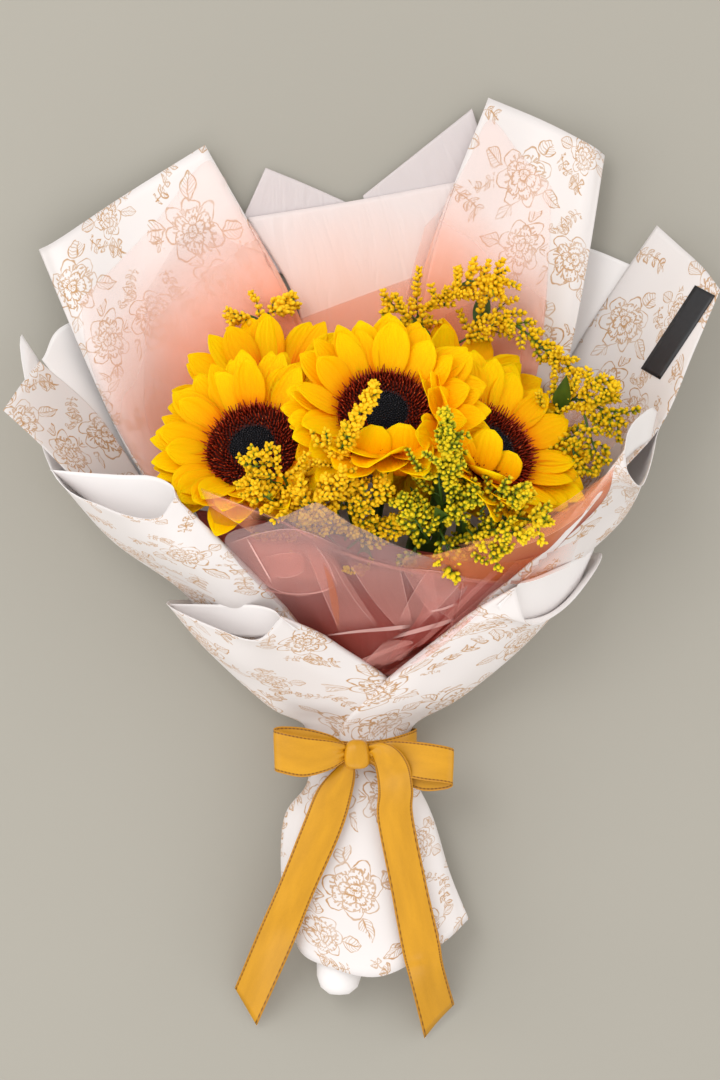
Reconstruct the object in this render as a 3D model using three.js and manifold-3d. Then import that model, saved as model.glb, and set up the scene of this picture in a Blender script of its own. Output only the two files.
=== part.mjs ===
// A bunch of sunflowers and goldenrod, wrapped in printed paper, tissue and pink film,
// and tied with a satin bow. The bunch lies on its back, as it would be laid on a table.
//
// Millimetres. X runs across the bunch, Y from the cut stems to the tips of the paper,
// and Z up from the table. The layouts below are drafted from the middle of the tie;
// at the end the whole bunch is moved so that its origin is the middle of its footprint.

import * as THREE from "three";
import { mergeVertices } from "three/addons/utils/BufferGeometryUtils.js";
import Module from "manifold-3d";

const wasm = await Module();
wasm.setup();

// ---------------------------------------------------------------- driving dimensions

const PAPER = 0.8;            // thickness of paper, film and ribbon as solids
const GAP = 0.5;              // clearance kept round a piece that another one passes

const NECK_HEIGHT = 26.5;     // middle of the tied neck above the table
const BAND_WIDTH = 25;        // width of the ribbon round the neck
const BAND_OVAL = [39.6, 24.9];   // half width and half height inside the ribbon
const RIGHT_NECK = [38, 23.2];    // the same for each paper gathered under it
const LEFT_NECK = [35.6, 20.8];
const SKIRT_NECK = [31.8, 17.2];

const DISC_RADIUS = 31;       // of the head inside its petals
const CENTRE_RADIUS = 16;     // of the woolly middle of the disc
const PETAL = { length: 41, width: 19, thickness: 1.3 };
const STEM_RADIUS = 3.6;
const HOLE_RADIUS = 5;        // of a hole that a stem stands in
const BUNDLE_RADIUS = 9.5;    // the five stems stand on this circle inside the tie
const STEM_END = -150;        // Y of the cut ends
const STEM_CLEARANCE = 22;    // lowest middle line of a stem above the sheets it lies on
const TWIG_RADIUS = 1;
const SPRAY_STEM_RADIUS = 1.6;
const BUD = { length: 12, radius: 4 };    // a bud stands for a cluster of small florets
const BUD_SPACING = 11.5;
const LEAF = { width: 11, thickness: 1.2 };

const YELLOW = 0xffc20a;
const DISC_BROWN = 0x4a1408;
const DISC_BLACK = 0x24242a;
const GREEN = 0x5d7a2c;
const GOLDENROD = 0xd9a90f;
const PAPER_PRINT = 0xefe6e4;
const PAPER_PLAIN = 0xf1ecec;
const FILM_PEACH = 0xf0b39c;
const FILM_ROSE = 0xb56a60;
const TISSUE = 0xe3d3d0;
const SATIN = 0xdba437;
const LABEL = 0x17171b;


// ---------------------------------------------------------------- layouts of the sheets

// Each layout is a few rows of points [x, y, z] on the sheet's outer side, from the tie
// upwards. The sheet is the smooth surface through them. A wrap's row goes round the bunch:
// the right one from the middle of the back to the front, the left one the other way.

const RIGHT_LOWER_WRAP = [
  [[3, 31, 0], [26, 31, 0], [53, 32, 10], [71, 34, 32], [62, 37, 54], [40, 40, 66], [17, 39, 67]],
  [[3, 65, 0], [43, 66, 0], [87, 68, 12], [116, 73, 46], [107, 79, 84], [88, 84, 101], [66, 80, 99]],
  [
    [3, 102, 0], [67, 105, 0], [131, 119, 8], [164, 130, 42],
    [141, 97, 66], [113, 84, 99], [103, 108, 120],
  ],
];
const RIGHT_FRONT_WRAP = [
  [[3, 20, 6], [19, 20, 6.5], [35, 22, 14], [42, 24, 28], [37, 26, 40], [26, 26, 45], [14, 27, 46]],
  [[3, 38, 3.4], [27, 38, 4.4], [51, 41, 14], [63, 44, 31], [59, 46, 44], [47, 47, 52], [31, 43, 52]],
  [[3, 68, 2.6], [46, 69, 3.4], [86, 73, 18], [107, 78, 44], [101, 83, 70], [84, 85, 84], [62, 76, 80]],
  [
    [3, 105, 2.6], [63, 107, 3.4], [119, 116, 20], [146, 122, 52],
    [137, 129, 86], [124, 132, 104], [111, 115, 106],
  ],
  [
    [3, 143, 0], [77, 146, 0], [146, 156, 24], [179, 157, 62],
    [172, 166, 104], [160, 169, 124], [148, 156, 128],
  ],
  [
    [3, 178, 0], [112, 190, 1.5], [197, 227, 52], [197, 205, 84],
    [186, 175, 118], [175, 182, 138], [172, 197, 142],
  ],
];
const LEFT_LOWER_WRAP = [
  [[23, 39, 60], [-5, 35, 64], [-38, 31, 56], [-60, 28, 34], [-45, 30, 10], [-18, 31, 0], [-3, 31, 0]],
  [[-16, 69, 90], [-44, 61, 94], [-77, 57, 76], [-101, 66, 44], [-83, 65, 12], [-46, 65, 0], [-3, 65, 0]],
  [
    [-49, 89, 118], [-66, 74, 112], [-97, 83, 88], [-127, 97, 54],
    [-106, 99, 14], [-59, 99, 0], [-3, 102, 0],
  ],
];
const LEFT_FRONT_WRAP = [
  [[6, 24, 40], [-6, 23, 42], [-25, 23, 38], [-38, 24, 26], [-29, 23, 12], [-15, 21, 6], [-3, 20, 6]],
  [
    [-26, 63, 74], [-50, 58, 76], [-73, 63, 60], [-87, 66, 40],
    [-74, 65, 16], [-42, 63, 3.4], [-3, 61, 2.6],
  ],
  [
    [-54, 96, 93], [-76, 91, 83], [-101, 100, 66], [-117, 105, 46],
    [-101, 106, 20], [-59, 99, 3.4], [-3, 99, 2.6],
  ],
  [
    [-87, 132, 130], [-111, 126, 126], [-139, 130, 98], [-163, 139, 60],
    [-146, 139, 24], [-79, 133, 0], [-3, 139, 0],
  ],
  [
    [-117, 166, 148], [-130, 153, 140], [-163, 160, 118], [-202, 186, 80],
    [-225, 275, 46], [-191, 241, 11], [-3, 200, 0],
  ],
];
const LEFT_SIDE_PANEL = [
  [[-118, 110, 46], [-108, 114, 28], [-96, 118, 16]],
  [[-157, 148, 68], [-150, 166, 40], [-139, 173, 26]],
  [[-204, 198, 90], [-191, 212, 64], [-175, 225, 46]],
  [[-231, 224, 104], [-220, 242, 92], [-209, 257, 84]],
];
const LEFT_PLAIN_SHEET = [
  [[-150, 178, 25], [-112, 182, 11], [-78, 186, 7.2]],
  [[-184, 225, 38], [-150, 236, 14], [-95, 246, 7.2]],
  [[-211, 260, 42], [-194, 286, 20], [-120, 302, 7.2]],
];
const LEFT_TALL_PANEL = [
  [[-134, 168, 30], [-122, 172, 30], [-72, 178, 12], [-10, 182, 9.3]],
  [[-157, 205, 32], [-145, 209, 33], [-103, 226, 14], [-26, 244, 9.3]],
  [[-184, 264, 32], [-172, 269, 36], [-130, 298, 15], [-56, 322, 9.3]],
  [[-215, 336, 12], [-201, 342, 24], [-160, 371, 13], [-103, 407, 9.3]],
];
const RIGHT_PLAIN_SHEET = [
  [[100, 226, 4.6], [128, 228, 4.6], [150, 232, 4.6]],
  [[120, 285, 4.6], [148, 285, 4.6], [174, 285, 4.6]],
  [[135, 344, 4.6], [162, 336, 4.6], [186, 326, 4.6]],
];
const RIGHT_TALL_PANEL = [
  [[40, 215, 9.3], [83, 215, 9.3], [120, 218, 18], [132, 222, 26]],
  [[38, 262, 9.3], [90, 262, 9.3], [130, 262, 27], [143, 264, 30]],
  [[51, 339, 9.3], [104, 336, 9.3], [143, 329, 28], [155, 325, 28]],
  [[89, 439, 9.3], [127, 423, 10], [156, 406, 26], [167, 399, 18]],
];
const RIGHT_SIDE_PANEL = [
  [[92, 142, 14], [107, 135, 28], [118, 130, 46], [124, 128, 62]],
  [[118, 207, 11], [142, 200, 24], [164, 191, 54], [173, 183, 88]],
  [[146, 265, 6.4], [171, 254, 20], [192, 236, 50], [202, 217, 80]],
  [[175, 311, 8], [194, 301, 22], [212, 283, 50], [223, 264, 72]],
  [[203, 352, 14], [217, 337, 30], [231, 321, 50], [241, 305, 66]],
];
const TISSUE_LEFT = [
  [[-91, 329, 4.2], [-42, 318, 4.2], [8, 307, 4.2]],
  [[-76, 361, 4.2], [-38, 350, 4.2], [0, 338, 4.2]],
  [[-62, 392, 4.2], [-35, 381, 4.2], [-8, 369, 4.2]],
];
const TISSUE_RIGHT = [
  [[20, 318, 5.4], [58, 322, 5.4], [96, 326, 5.4]],
  [[12, 346, 5.4], [52, 366, 5.4], [92, 386, 5.4]],
  [[4, 373, 5.4], [41, 402.5, 5.4], [78, 432, 5.4]],
];
const TISSUE_CENTRE = [
  [[-45, 214, 6.6], [16, 214, 6.6], [77, 214, 6.6]],
  [[-39, 292, 6.6], [16, 295, 6.6], [77, 302, 6.6]],
  [[-74, 358, 6.6], [-5, 369, 6.6], [71, 383, 6.6]],
];
const LEFT_FILM = [
  [[-84, 176, 22], [-55, 178, 15], [-12, 180, 11.6]],
  [[-114, 226, 28], [-79, 232, 16], [-18, 240, 11.6]],
  [[-130, 286, 21], [-89, 302, 13.5], [-30, 288, 11.6]],
  [[-125, 359, 18], [-103, 393, 13.5], [-64, 332, 11.6]],
];
const RIGHT_FILM = [
  [[29, 176, 11.6], [66, 178, 11.6], [100, 182, 13]],
  [[28, 234, 11.6], [63, 238, 11.6], [104, 244, 20]],
  [[36, 309, 11.6], [63, 315, 11.6], [108, 322, 19]],
  [[66, 380, 11.6], [85, 403, 11.6], [116, 408, 13]],
];
const RIGHT_SIDE_FILM = [
  [[88, 148, 26], [102, 142, 40], [112, 138, 58]],
  [[124, 202, 26], [145, 196, 44], [160, 190, 76]],
  [[152, 246, 28], [172, 236, 48], [187, 222, 78]],
];
const FRONT_FILM_DEEP = [
  [[-14, 46, 46], [12, 48, 48], [34, 50, 46]],
  [[-41, 72, 60], [9, 75, 66], [60, 75, 60]],
  [[-78, 107, 82], [-5, 108, 92], [101, 102, 80]],
  [[-106, 160, 110], [-8, 142, 114], [114, 118, 90]],
];
const FRONT_FILM_NEAR = [
  [[-12, 50, 56], [-4, 51, 57], [4, 52, 58], [14, 53, 58], [22, 54, 57], [32, 55, 56]],
  [[-42, 80, 72], [-22, 81, 76], [0, 84, 80], [20, 84, 80], [42, 84, 77], [66, 84, 70]],
  [[-80, 124, 104], [-50, 122, 107], [-20, 120, 110], [8, 110, 105], [50, 100, 98], [94, 108, 94]],
  [[-97, 172, 128], [-62, 161, 127], [-24, 163, 128], [2, 138, 122], [50, 119, 112], [110, 123, 104]],
];
const TAIL_LEFT = [
  [[-11, -14, 54], [-6, -15, 55], [0, -14, 54]],
  [[-26, -42, 53], [-16, -46, 55], [-5, -48, 53]],
  [[-43, -79, 51], [-31, -85, 53], [-18, -90, 52]],
  [[-62, -119, 44], [-49, -125, 47], [-36, -132, 47]],
  [[-83, -164, 12], [-76, -176, 10], [-68, -190, 6]],
];
const TAIL_RIGHT = [
  [[7, -14, 54], [12, -14, 55], [18, -13, 54]],
  [[11, -47, 53], [22, -47, 55], [33, -44, 53]],
  [[19, -91, 52], [30, -90, 54], [42, -87, 52]],
  [[28, -134, 51], [40, -130, 52.5], [52, -127, 51]],
  [[33, -154, 47], [45, -149, 50], [56, -145, 46]],
  [[46, -199, 5], [56, -186, 8], [66, -175, 10]],
];
const LIP_RIGHT_LOWER = [
  [[97, 92, 108], [120, 92, 84], [143, 101, 56]],
  [[105, 110, 117], [128, 116, 94], [155, 129, 56]],
];
const LIP_LEFT_LOWER = [
  [[-115, 85, 50], [-80, 68, 88], [-47, 74, 104]],
  [[-126, 97, 56], [-87, 98, 92], [-51, 96, 117]],
];
const LIP_LEFT_UPPER = [
  [[-190, 171, 74], [-154, 147, 108], [-119, 152, 134]],
  [[-198, 185, 82], [-161, 180, 112], [-120, 174, 146]],
];
const LIP_RIGHT_UPPER = [
  [[175, 178, 128], [185, 182, 108], [194, 199, 86]],
  [[173, 199, 141], [184, 212, 118], [195, 225, 86]],
];

// ---------------------------------------------------------------- solids

const bunch = new THREE.Group();
const placed = [];

function toSolid(geometry) {
  const bare = geometry.clone();
  bare.deleteAttribute("normal");
  bare.deleteAttribute("uv");
  const merged = mergeVertices(bare, 1e-4);
  const triangles = [];
  for (let i = 0; i < merged.index.count; i += 3) {
    const [a, b, c] = [0, 1, 2].map((k) => merged.index.getX(i + k));
    if (a !== b && b !== c && c !== a) triangles.push(a, b, c);
  }
  return new wasm.Manifold(new wasm.Mesh({
    numProp: 3,
    vertProperties: new Float32Array(merged.attributes.position.array),
    triVerts: new Uint32Array(triangles),
  }));
}

function join(pieces) {
  return pieces.reduce((whole, piece) => whole.add(piece));
}

function largest(solid) {
  return solid.decompose().reduce((best, piece) => (piece.volume() > best.volume() ? piece : best));
}

function boxesMeet(one, other) {
  return [0, 1, 2].every((k) => one.min[k] < other.max[k] && other.min[k] < one.max[k]);
}

// True where a solid meets none of the pieces that hold room so far.
function isClear(solid) {
  const box = solid.boundingBox();
  return placed.every((other) => (
    !boxesMeet(box, other.box) || solid.intersect(other.solid).isEmpty()
  ));
}

function keepRoom(name, solid) {
  placed.push({ name, solid, box: solid.boundingBox() });
}

function giveRoom(name) {
  placed.splice(placed.findIndex((piece) => piece.name === name), 1);
}

function addNode(name, colour, solid, finish = {}) {
  const { vertProperties, triVerts } = solid.getMesh();
  const geometry = new THREE.BufferGeometry();
  geometry.setAttribute("position", new THREE.BufferAttribute(new Float32Array(vertProperties), 3));
  geometry.setIndex(new THREE.BufferAttribute(new Uint32Array(triVerts), 1));
  geometry.computeVertexNormals();
  const look = { color: colour, roughness: 0.7, metalness: 0, ...finish };
  const material = new THREE.MeshStandardMaterial(look);
  const mesh = new THREE.Mesh(geometry, material);
  mesh.name = name;
  bunch.add(mesh);
  keepRoom(name, solid);
}

// ---------------------------------------------------------------- sheets

// A point of the smooth surface through a layout's points, at shares u across and v along.
function surfacePoint(layout, u, v) {
  const column = layout.map((row) => curveThrough(row).getPoint(u));
  const point = new THREE.CatmullRomCurve3(column, false, "catmullrom", 0.5).getPoint(v);
  point.z = Math.max(0, point.z);
  return point;
}

function curveThrough(points) {
  return new THREE.CatmullRomCurve3(points.map((p) => new THREE.Vector3(...p)), false, "catmullrom", 0.5);
}

// A sheet through a layout's points, thickened to the side that faces the flowers.
// part = [u0, u1, v0, v1] takes a share of the sheet, lean slants that share along the sheet,
// and lift raises it off the surface.
function sheet(layout, across, along, options = {}) {
  const { part = [0, 1, 0, 1], lean = 0, lift = 0, thickness = PAPER } = options;
  const points = [];
  for (let j = 0; j <= along; j++) {
    for (let i = 0; i <= across; i++) {
      const u = part[0] + (part[1] - part[0]) * i / across + lean * j / along;
      const v = part[2] + (part[3] - part[2]) * j / along;
      points.push(surfacePoint(layout, u, v));
    }
  }
  const at = (i, j) => points[j * (across + 1) + i];
  const outer = [];
  const inner = [];
  for (let j = 0; j <= along; j++) {
    for (let i = 0; i <= across; i++) {
      const du = at(Math.min(i + 1, across), j).clone().sub(at(Math.max(i - 1, 0), j));
      const dv = at(i, Math.min(j + 1, along)).clone().sub(at(i, Math.max(j - 1, 0)));
      const normal = du.cross(dv).normalize();
      outer.push(at(i, j).clone().addScaledVector(normal, lift));
      inner.push(at(i, j).clone().addScaledVector(normal, lift + thickness));
    }
  }
  return toSolid(slab(outer, inner, across, along));
}

// The closed skin between two grids of points that lie one above the other.
function slab(outer, inner, across, along) {
  const width = across + 1;
  const top = outer.length;
  const index = [];
  const quad = (a, b, c, d) => index.push(a, b, c, a, c, d);
  for (let j = 0; j < along; j++) {
    for (let i = 0; i < across; i++) {
      const [a, b, c, d] = [j * width + i, j * width + i + 1, (j + 1) * width + i + 1, (j + 1) * width + i];
      index.push(top + a, top + b, top + c, top + a, top + c, top + d);
      index.push(a, c, b, a, d, c);
    }
  }
  for (let i = 0; i < across; i++) {
    quad(i, i + 1, top + i + 1, top + i);
    const end = along * width + i;
    quad(end + 1, end, top + end, top + end + 1);
  }
  for (let j = 0; j < along; j++) {
    const [left, right] = [j * width, j * width + across];
    quad(left + width, left, top + left, top + left + width);
    quad(right, right + width, top + right + width, top + right);
  }
  const geometry = new THREE.BufferGeometry();
  const positions = [...outer, ...inner].flatMap((p) => [p.x, p.y, p.z]);
  geometry.setAttribute("position", new THREE.BufferAttribute(new Float32Array(positions), 3));
  geometry.setIndex(index);
  return geometry;
}

// Points on the oval of the gathered neck, from one angle to another, at a given Y.
function neckRow([halfWidth, halfHeight], angles, y) {
  return angles.map((degrees) => {
    const angle = THREE.MathUtils.degToRad(degrees);
    return [halfWidth * Math.cos(angle), y, NECK_HEIGHT + halfHeight * Math.sin(angle)];
  });
}

// ---------------------------------------------------------------- blades and tubes

const BLADE_STATIONS = [0, 0.36, 0.76, 1];
const BLADE_PROFILE = [0.36, 1, 0.8, 0];

// A petal, bract or leaf: a ribbed blade, thick along its middle and thin at its edges. It
// starts at radius root, rises at the angle rise and turns up by bend along its length.
function blade({ length, width, thickness, root, rise, bend, cup = 0.15 }) {
  const vertices = [];
  let [r, z] = [root, 0];
  BLADE_STATIONS.forEach((t, k) => {
    const slope = THREE.MathUtils.degToRad(rise + bend * t);
    const step = k === 0 ? 0 : (t - BLADE_STATIONS[k - 1]) * length;
    r += step * Math.cos(slope);
    z += step * Math.sin(slope);
    const half = BLADE_PROFILE[k] * width / 2;
    const [nr, nz] = [-Math.sin(slope), Math.cos(slope)];
    if (half === 0) {
      vertices.push([r, 0, z]);
      return;
    }
    const edge = half * cup;
    vertices.push([r + nr * edge, -half, z + nz * edge]);
    vertices.push([r + nr * thickness / 2, 0, z + nz * thickness / 2]);
    vertices.push([r + nr * edge, half, z + nz * edge]);
    vertices.push([r - nr * thickness / 2, 0, z - nz * thickness / 2]);
  });
  const index = [0, 1, 2, 0, 2, 3];
  const tip = vertices.length - 1;
  for (let k = 0; k < BLADE_STATIONS.length - 1; k++) {
    for (let side = 0; side < 4; side++) {
      const [a, b] = [4 * k + side, 4 * k + (side + 1) % 4];
      if (4 * (k + 1) === tip) {
        index.push(b, a, tip);
      } else {
        index.push(b, a, a + 4, b, a + 4, b + 4);
      }
    }
  }
  const geometry = new THREE.BufferGeometry();
  geometry.setAttribute("position", new THREE.BufferAttribute(new Float32Array(vertices.flat()), 3));
  geometry.setIndex(index);
  return geometry;
}

// A blade set round its head at a bearing. Where it would meet a piece already placed, it
// is bent a little up or down, and it is left out where no bend makes room for it.
function fittedBlade(shape, height, bearing, matrix) {
  for (const bend of [0, 8, -8, 16, -16, 26, -26, 38]) {
    const build = (margin) => {
      const geometry = blade({
        ...shape,
        length: shape.length + margin,
        width: shape.width + 2 * margin,
        thickness: shape.thickness + 2 * margin,
        rise: shape.rise + bend,
      });
      geometry.translate(0, 0, height).rotateZ(THREE.MathUtils.degToRad(bearing));
      return toSolid(geometry).transform(matrix.elements);
    };
    if (isClear(build(GAP))) return [build(0)];
  }
  return [];
}

function tube(points, radius, sides, steps) {
  const outline = new THREE.Shape();
  for (let k = 0; k < sides; k++) {
    const angle = 2 * Math.PI * k / sides;
    const [x, y] = [radius * Math.cos(angle), radius * Math.sin(angle)];
    if (k === 0) outline.moveTo(x, y);
    else outline.lineTo(x, y);
  }
  outline.closePath();
  const path = new THREE.CatmullRomCurve3(points.map((p) => new THREE.Vector3(...p)));
  return toSolid(new THREE.ExtrudeGeometry(outline, { steps, bevelEnabled: false, extrudePath: path }));
}

function lathe(profile, segments) {
  const outline = profile.map(([r, z]) => new THREE.Vector2(r, z));
  return new THREE.LatheGeometry(outline, segments).rotateX(Math.PI / 2);
}

// ---------------------------------------------------------------- sunflowers

// Each head: its middle, the way it faces, its place in the bundle of stems, its petals,
// and the bearings at which they bend up (+) or down (-). A bearing is an angle round the
// head, 0 to the right and 90 to the paper's tips.
const HEADS = {
  middle: {
    at: [18, 222, 118], faces: [0.02, 0.5, 0.86], place: 90, petals: 23,
    bends: [{ bearing: -90, spread: 55, degrees: 62 }, { bearing: 175, spread: 40, degrees: 10 }],
  },
  left: {
    at: [-68, 200, 102], faces: [-0.2, 0.46, 0.86], place: 162, petals: 23,
    bends: [{ bearing: -90, spread: 60, degrees: 20 }, { bearing: 20, spread: 50, degrees: -14 }],
  },
  right: {
    at: [88, 200, 104], faces: [0.5, 0.52, 0.69], place: 18, petals: 23,
    bends: [{ bearing: -140, spread: 70, degrees: 56 }, { bearing: 150, spread: 40, degrees: -12 }],
  },
  back_left: {
    at: [-56, 226, 54], faces: [-0.1, 0.3, 0.95], place: 234, petals: 12,
    bends: [{ bearing: -90, spread: 80, degrees: -12 }],
  },
  back_right: {
    at: [60, 218, 52], faces: [0.1, 0.3, 0.95], place: 306, petals: 12,
    bends: [{ bearing: -90, spread: 80, degrees: -12 }],
  },
};

const PETAL_LAYERS = [
  { share: 0.54, rise: 8, bend: 14, scale: 1, offset: 0 },
  { share: 0.46, rise: 25, bend: 12, scale: 0.94, offset: 0.5 },
];

function headMatrix({ at, faces }) {
  const normal = new THREE.Vector3(...faces).normalize();
  const across = new THREE.Vector3(0, 1, 0).cross(normal).normalize();
  const up = normal.clone().cross(across);
  return new THREE.Matrix4().makeBasis(across, up, normal).setPosition(...at);
}

function bendAt(bends, bearing) {
  return bends.reduce((sum, bend) => {
    const away = Math.abs(((bearing - bend.bearing + 540) % 360) - 180);
    return sum + bend.degrees * Math.max(0, 1 - away / bend.spread);
  }, 0);
}

function petalRing(head, matrix, random) {
  const inside = CENTRE_RADIUS - 1;
  const rim = [DISC_RADIUS, -3.6];
  const ring = lathe([[inside, -3.6], rim, [DISC_RADIUS + 2, -1.8], [inside, -0.6], [inside, -3.6]], 14);
  const petals = PETAL_LAYERS.flatMap(({ share, rise, bend, scale, offset }) => {
    const count = Math.round(head.petals * share);
    return Array.from({ length: count }, (_, k) => {
      const bearing = 360 * (k + offset) / count + 5 * (random() - 0.5);
      const extra = bendAt(head.bends, bearing);
      const shape = {
        length: PETAL.length * scale * (0.93 + 0.14 * random()),
        width: PETAL.width * (0.9 + 0.2 * random()),
        thickness: PETAL.thickness,
        root: DISC_RADIUS - 1.5,
        rise: rise + extra * 0.6 + 6 * (random() - 0.5),
        bend: bend + extra * 0.6,
      };
      return fittedBlade(shape, -2.2, bearing, matrix);
    }).flat();
  });
  return join([toSolid(ring).transform(matrix.elements), ...petals]);
}

// The ring of florets stands up in spikes, and the woolly middle is a low beaded dome.
function discRing() {
  const ridges = 13;
  const inside = CENTRE_RADIUS + 0.6;
  const outside = DISC_RADIUS - 4.5;
  const foot = [inside, -0.2];
  const shape = lathe([foot, [outside, -0.2], [outside + 2, 6.4], [inside + 1.4, 3.2], foot], 2 * ridges);
  const position = shape.attributes.position;
  for (let k = 0; k < position.count; k++) {
    const angle = Math.atan2(position.getY(k), position.getX(k));
    const spike = 1 + 0.3 * Math.cos(ridges * angle);
    if (position.getZ(k) > 0) position.setZ(k, position.getZ(k) * spike);
  }
  return toSolid(shape);
}

function discCentre() {
  const beads = 7;
  const radius = CENTRE_RADIUS;
  const profile = [[0, -0.2], [radius, -0.2], [radius - 0.4, 1.6], [0.6 * radius, 4.2], [0, 5.2]];
  const shape = lathe(profile, 2 * beads);
  const position = shape.attributes.position;
  for (let k = 0; k < position.count; k++) {
    const [x, y, z] = [position.getX(k), position.getY(k), position.getZ(k)];
    if (z > 2 && z < 5) position.setZ(k, z + 0.5 * Math.cos(beads * Math.atan2(y, x)));
  }
  return toSolid(shape);
}

// The stems lean left below the tie, towards the wrap round their cut ends.
function bundlePoint(place, y) {
  const angle = THREE.MathUtils.degToRad(place);
  const lean = Math.max(0, -y) * 0.085;
  return [BUNDLE_RADIUS * Math.cos(angle) - lean, y, NECK_HEIGHT - 2 + BUNDLE_RADIUS * Math.sin(angle)];
}

function stemPoints(head, matrix) {
  const under = (depth) => new THREE.Vector3(0, 0, -depth).applyMatrix4(matrix);
  const turn = under(38);
  turn.z = Math.max(turn.z, STEM_CLEARANCE);
  const neck = new THREE.Vector3(...bundlePoint(head.place, 22));
  const way = neck.clone().lerp(turn, 0.6);
  way.z -= 0.03 * turn.z;
  const above = [under(14), under(24), turn, way, neck].map((p) => p.toArray());
  return above.concat([0, -50, -100, STEM_END].map((y) => bundlePoint(head.place, y)));
}

// The green back of a head, on its stem.
function headStem(head, matrix) {
  const cup = lathe([[0, -20], [5, -19], [14, -13], [27, -6], [26, -4.1], [0, -4.1]], 9);
  const stem = tube(stemPoints(head, matrix), STEM_RADIUS, 5, 10);
  return toSolid(cup).transform(matrix.elements).add(stem);
}

function bracts(matrix) {
  const count = 6;
  const shape = { length: 26, width: 16, thickness: 1.3, root: 21, rise: -4, bend: 12 };
  return Array.from({ length: count }, (_, k) => (
    fittedBlade(shape, -6.5, 360 * (k + 0.5) / count, matrix)
  )).flat();
}

// ---------------------------------------------------------------- goldenrod

// Each spray: its stem from below the tie to its tip, the share of the stem where the plume
// starts, its side twigs, how far the longest ones reach, and its leaves as [share of the
// stem, degrees round it, length].
const SPRAYS = {
  front_left: {
    stem: [
      [-25, -90, 31], [-19, 0, 31], [-25, 60, 43], [-36, 112, 73],
      [-44, 150, 106], [-46, 178, 142], [-66, 198, 160],
    ],
    plume: 0.62, twigs: 8, reach: 34,
    leaves: [[0.66, 60, 40], [0.58, -70, 38]],
  },
  front_middle: {
    stem: [[5, -90, 39], [13, 0, 38.4], [12, 60, 46], [6, 112, 78], [-6, 160, 116], [-20, 208, 158]],
    plume: 0.62, twigs: 8, reach: 36,
    leaves: [[0.64, 100, 38]],
  },
  front_right: {
    stem: [
      [14, -90, 33], [21, 0, 33], [30, 60, 42], [44, 112, 74],
      [56, 152, 112], [53, 186, 150], [62, 206, 162],
    ],
    plume: 0.62, twigs: 8, reach: 38,
    leaves: [[0.6, -60, 44], [0.66, 80, 38]],
  },
  front_droop: {
    stem: [[18, -90, 26], [26, 0, 26], [42, 60, 38], [66, 108, 68], [96, 150, 114], [126, 150, 140]],
    plume: 0.64, twigs: 7, reach: 24,
    leaves: [[0.62, -80, 40], [0.7, 30, 32]],
  },
  back_plume: {
    stem: [[-9, -90, 12.6], [-1, 0, 12.6], [-2, 40, 15], [20, 180, 19.4], [38, 286, 34], [100, 320, 44]],
    plume: 0.7, twigs: 8, reach: 40,
    leaves: [[0.74, 80, 34], [0.66, -60, 40]],
  },
  back_left: {
    stem: [[-28, -90, 22], [-21, 0, 22], [-34, 80, 22], [-52, 190, 20], [-66, 284, 26], [-42, 302, 30]],
    plume: 0.86, twigs: 4, reach: 16,
    leaves: [[0.82, 40, 30]],
  },
  arch: {
    stem: [[8, -90, 19], [16, 0, 17], [34, 90, 19.4], [66, 200, 19.6], [88, 288, 40], [138, 258, 62]],
    plume: 0.72, twigs: 7, reach: 20,
    leaves: [[0.76, -70, 34]],
  },
  right_cluster: {
    stem: [[16, -90, 21], [23, 0, 20.6], [58, 80, 30], [104, 170, 44], [142, 232, 74], [176, 216, 84]],
    plume: 0.7, twigs: 8, reach: 28,
    leaves: [[0.68, -60, 40], [0.76, 60, 32]],
  },
};

function bud(at, direction, scale) {
  const size = BUD.radius * scale;
  const shape = new THREE.OctahedronGeometry(1).scale(size, size, BUD.length * scale / 2);
  const turn = new THREE.Quaternion().setFromUnitVectors(new THREE.Vector3(0, 0, 1), direction);
  const middle = at.clone().addScaledVector(direction, BUD.length * scale * 0.32);
  return toSolid(shape.applyQuaternion(turn).translate(...middle.toArray()));
}

// A lance-shaped leaf, left out where it would meet another piece.
function lanceLeaf(path, [share, turn, length]) {
  const along = path.getTangent(share);
  const side = new THREE.Vector3(0, 0, 1).cross(along).normalize()
    .applyAxisAngle(along, THREE.MathUtils.degToRad(turn));
  const out = along.clone().multiplyScalar(0.8).addScaledVector(side, 0.6).normalize();
  const across = new THREE.Vector3(0, 0, 1).cross(out).normalize();
  const matrix = new THREE.Matrix4().makeBasis(out, across, out.clone().cross(across));
  matrix.setPosition(path.getPoint(share));
  const shape = blade({ ...LEAF, length, root: 0, rise: 0, bend: -16 });
  const leaf = toSolid(shape).transform(matrix.elements);
  return isClear(leaf) ? [leaf] : [];
}

// One side twig with its buds. Buds and twigs that would meet another piece are left out.
function twigWithBuds(start, along, side, up, length, random) {
  const out = side.clone().multiplyScalar(0.75).addScaledVector(along, 0.65)
    .addScaledVector(up, 0.5 * (random() - 0.3)).normalize();
  const end = start.clone().addScaledVector(out, length);
  const twig = tube([start, end].map((p) => p.toArray()), TWIG_RADIUS, 3, 1);
  if (!isClear(twig)) return [];
  const count = Math.max(2, Math.round(length / BUD_SPACING));
  const buds = Array.from({ length: count }, (_, b) => {
    const point = start.clone().lerp(end, 0.35 + 0.65 * b / (count - 1));
    const lean = up.clone().addScaledVector(along, 0.5)
      .addScaledVector(side, 1.3 * (random() - 0.5));
    const direction = b === count - 1 ? out : lean.normalize();
    return bud(point, direction, 0.85 + 0.35 * random());
  });
  return [twig, ...buds.filter(isClear)];
}

function sprayStem({ stem }) {
  return tube(stem, SPRAY_STEM_RADIUS, 4, 12);
}

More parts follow.
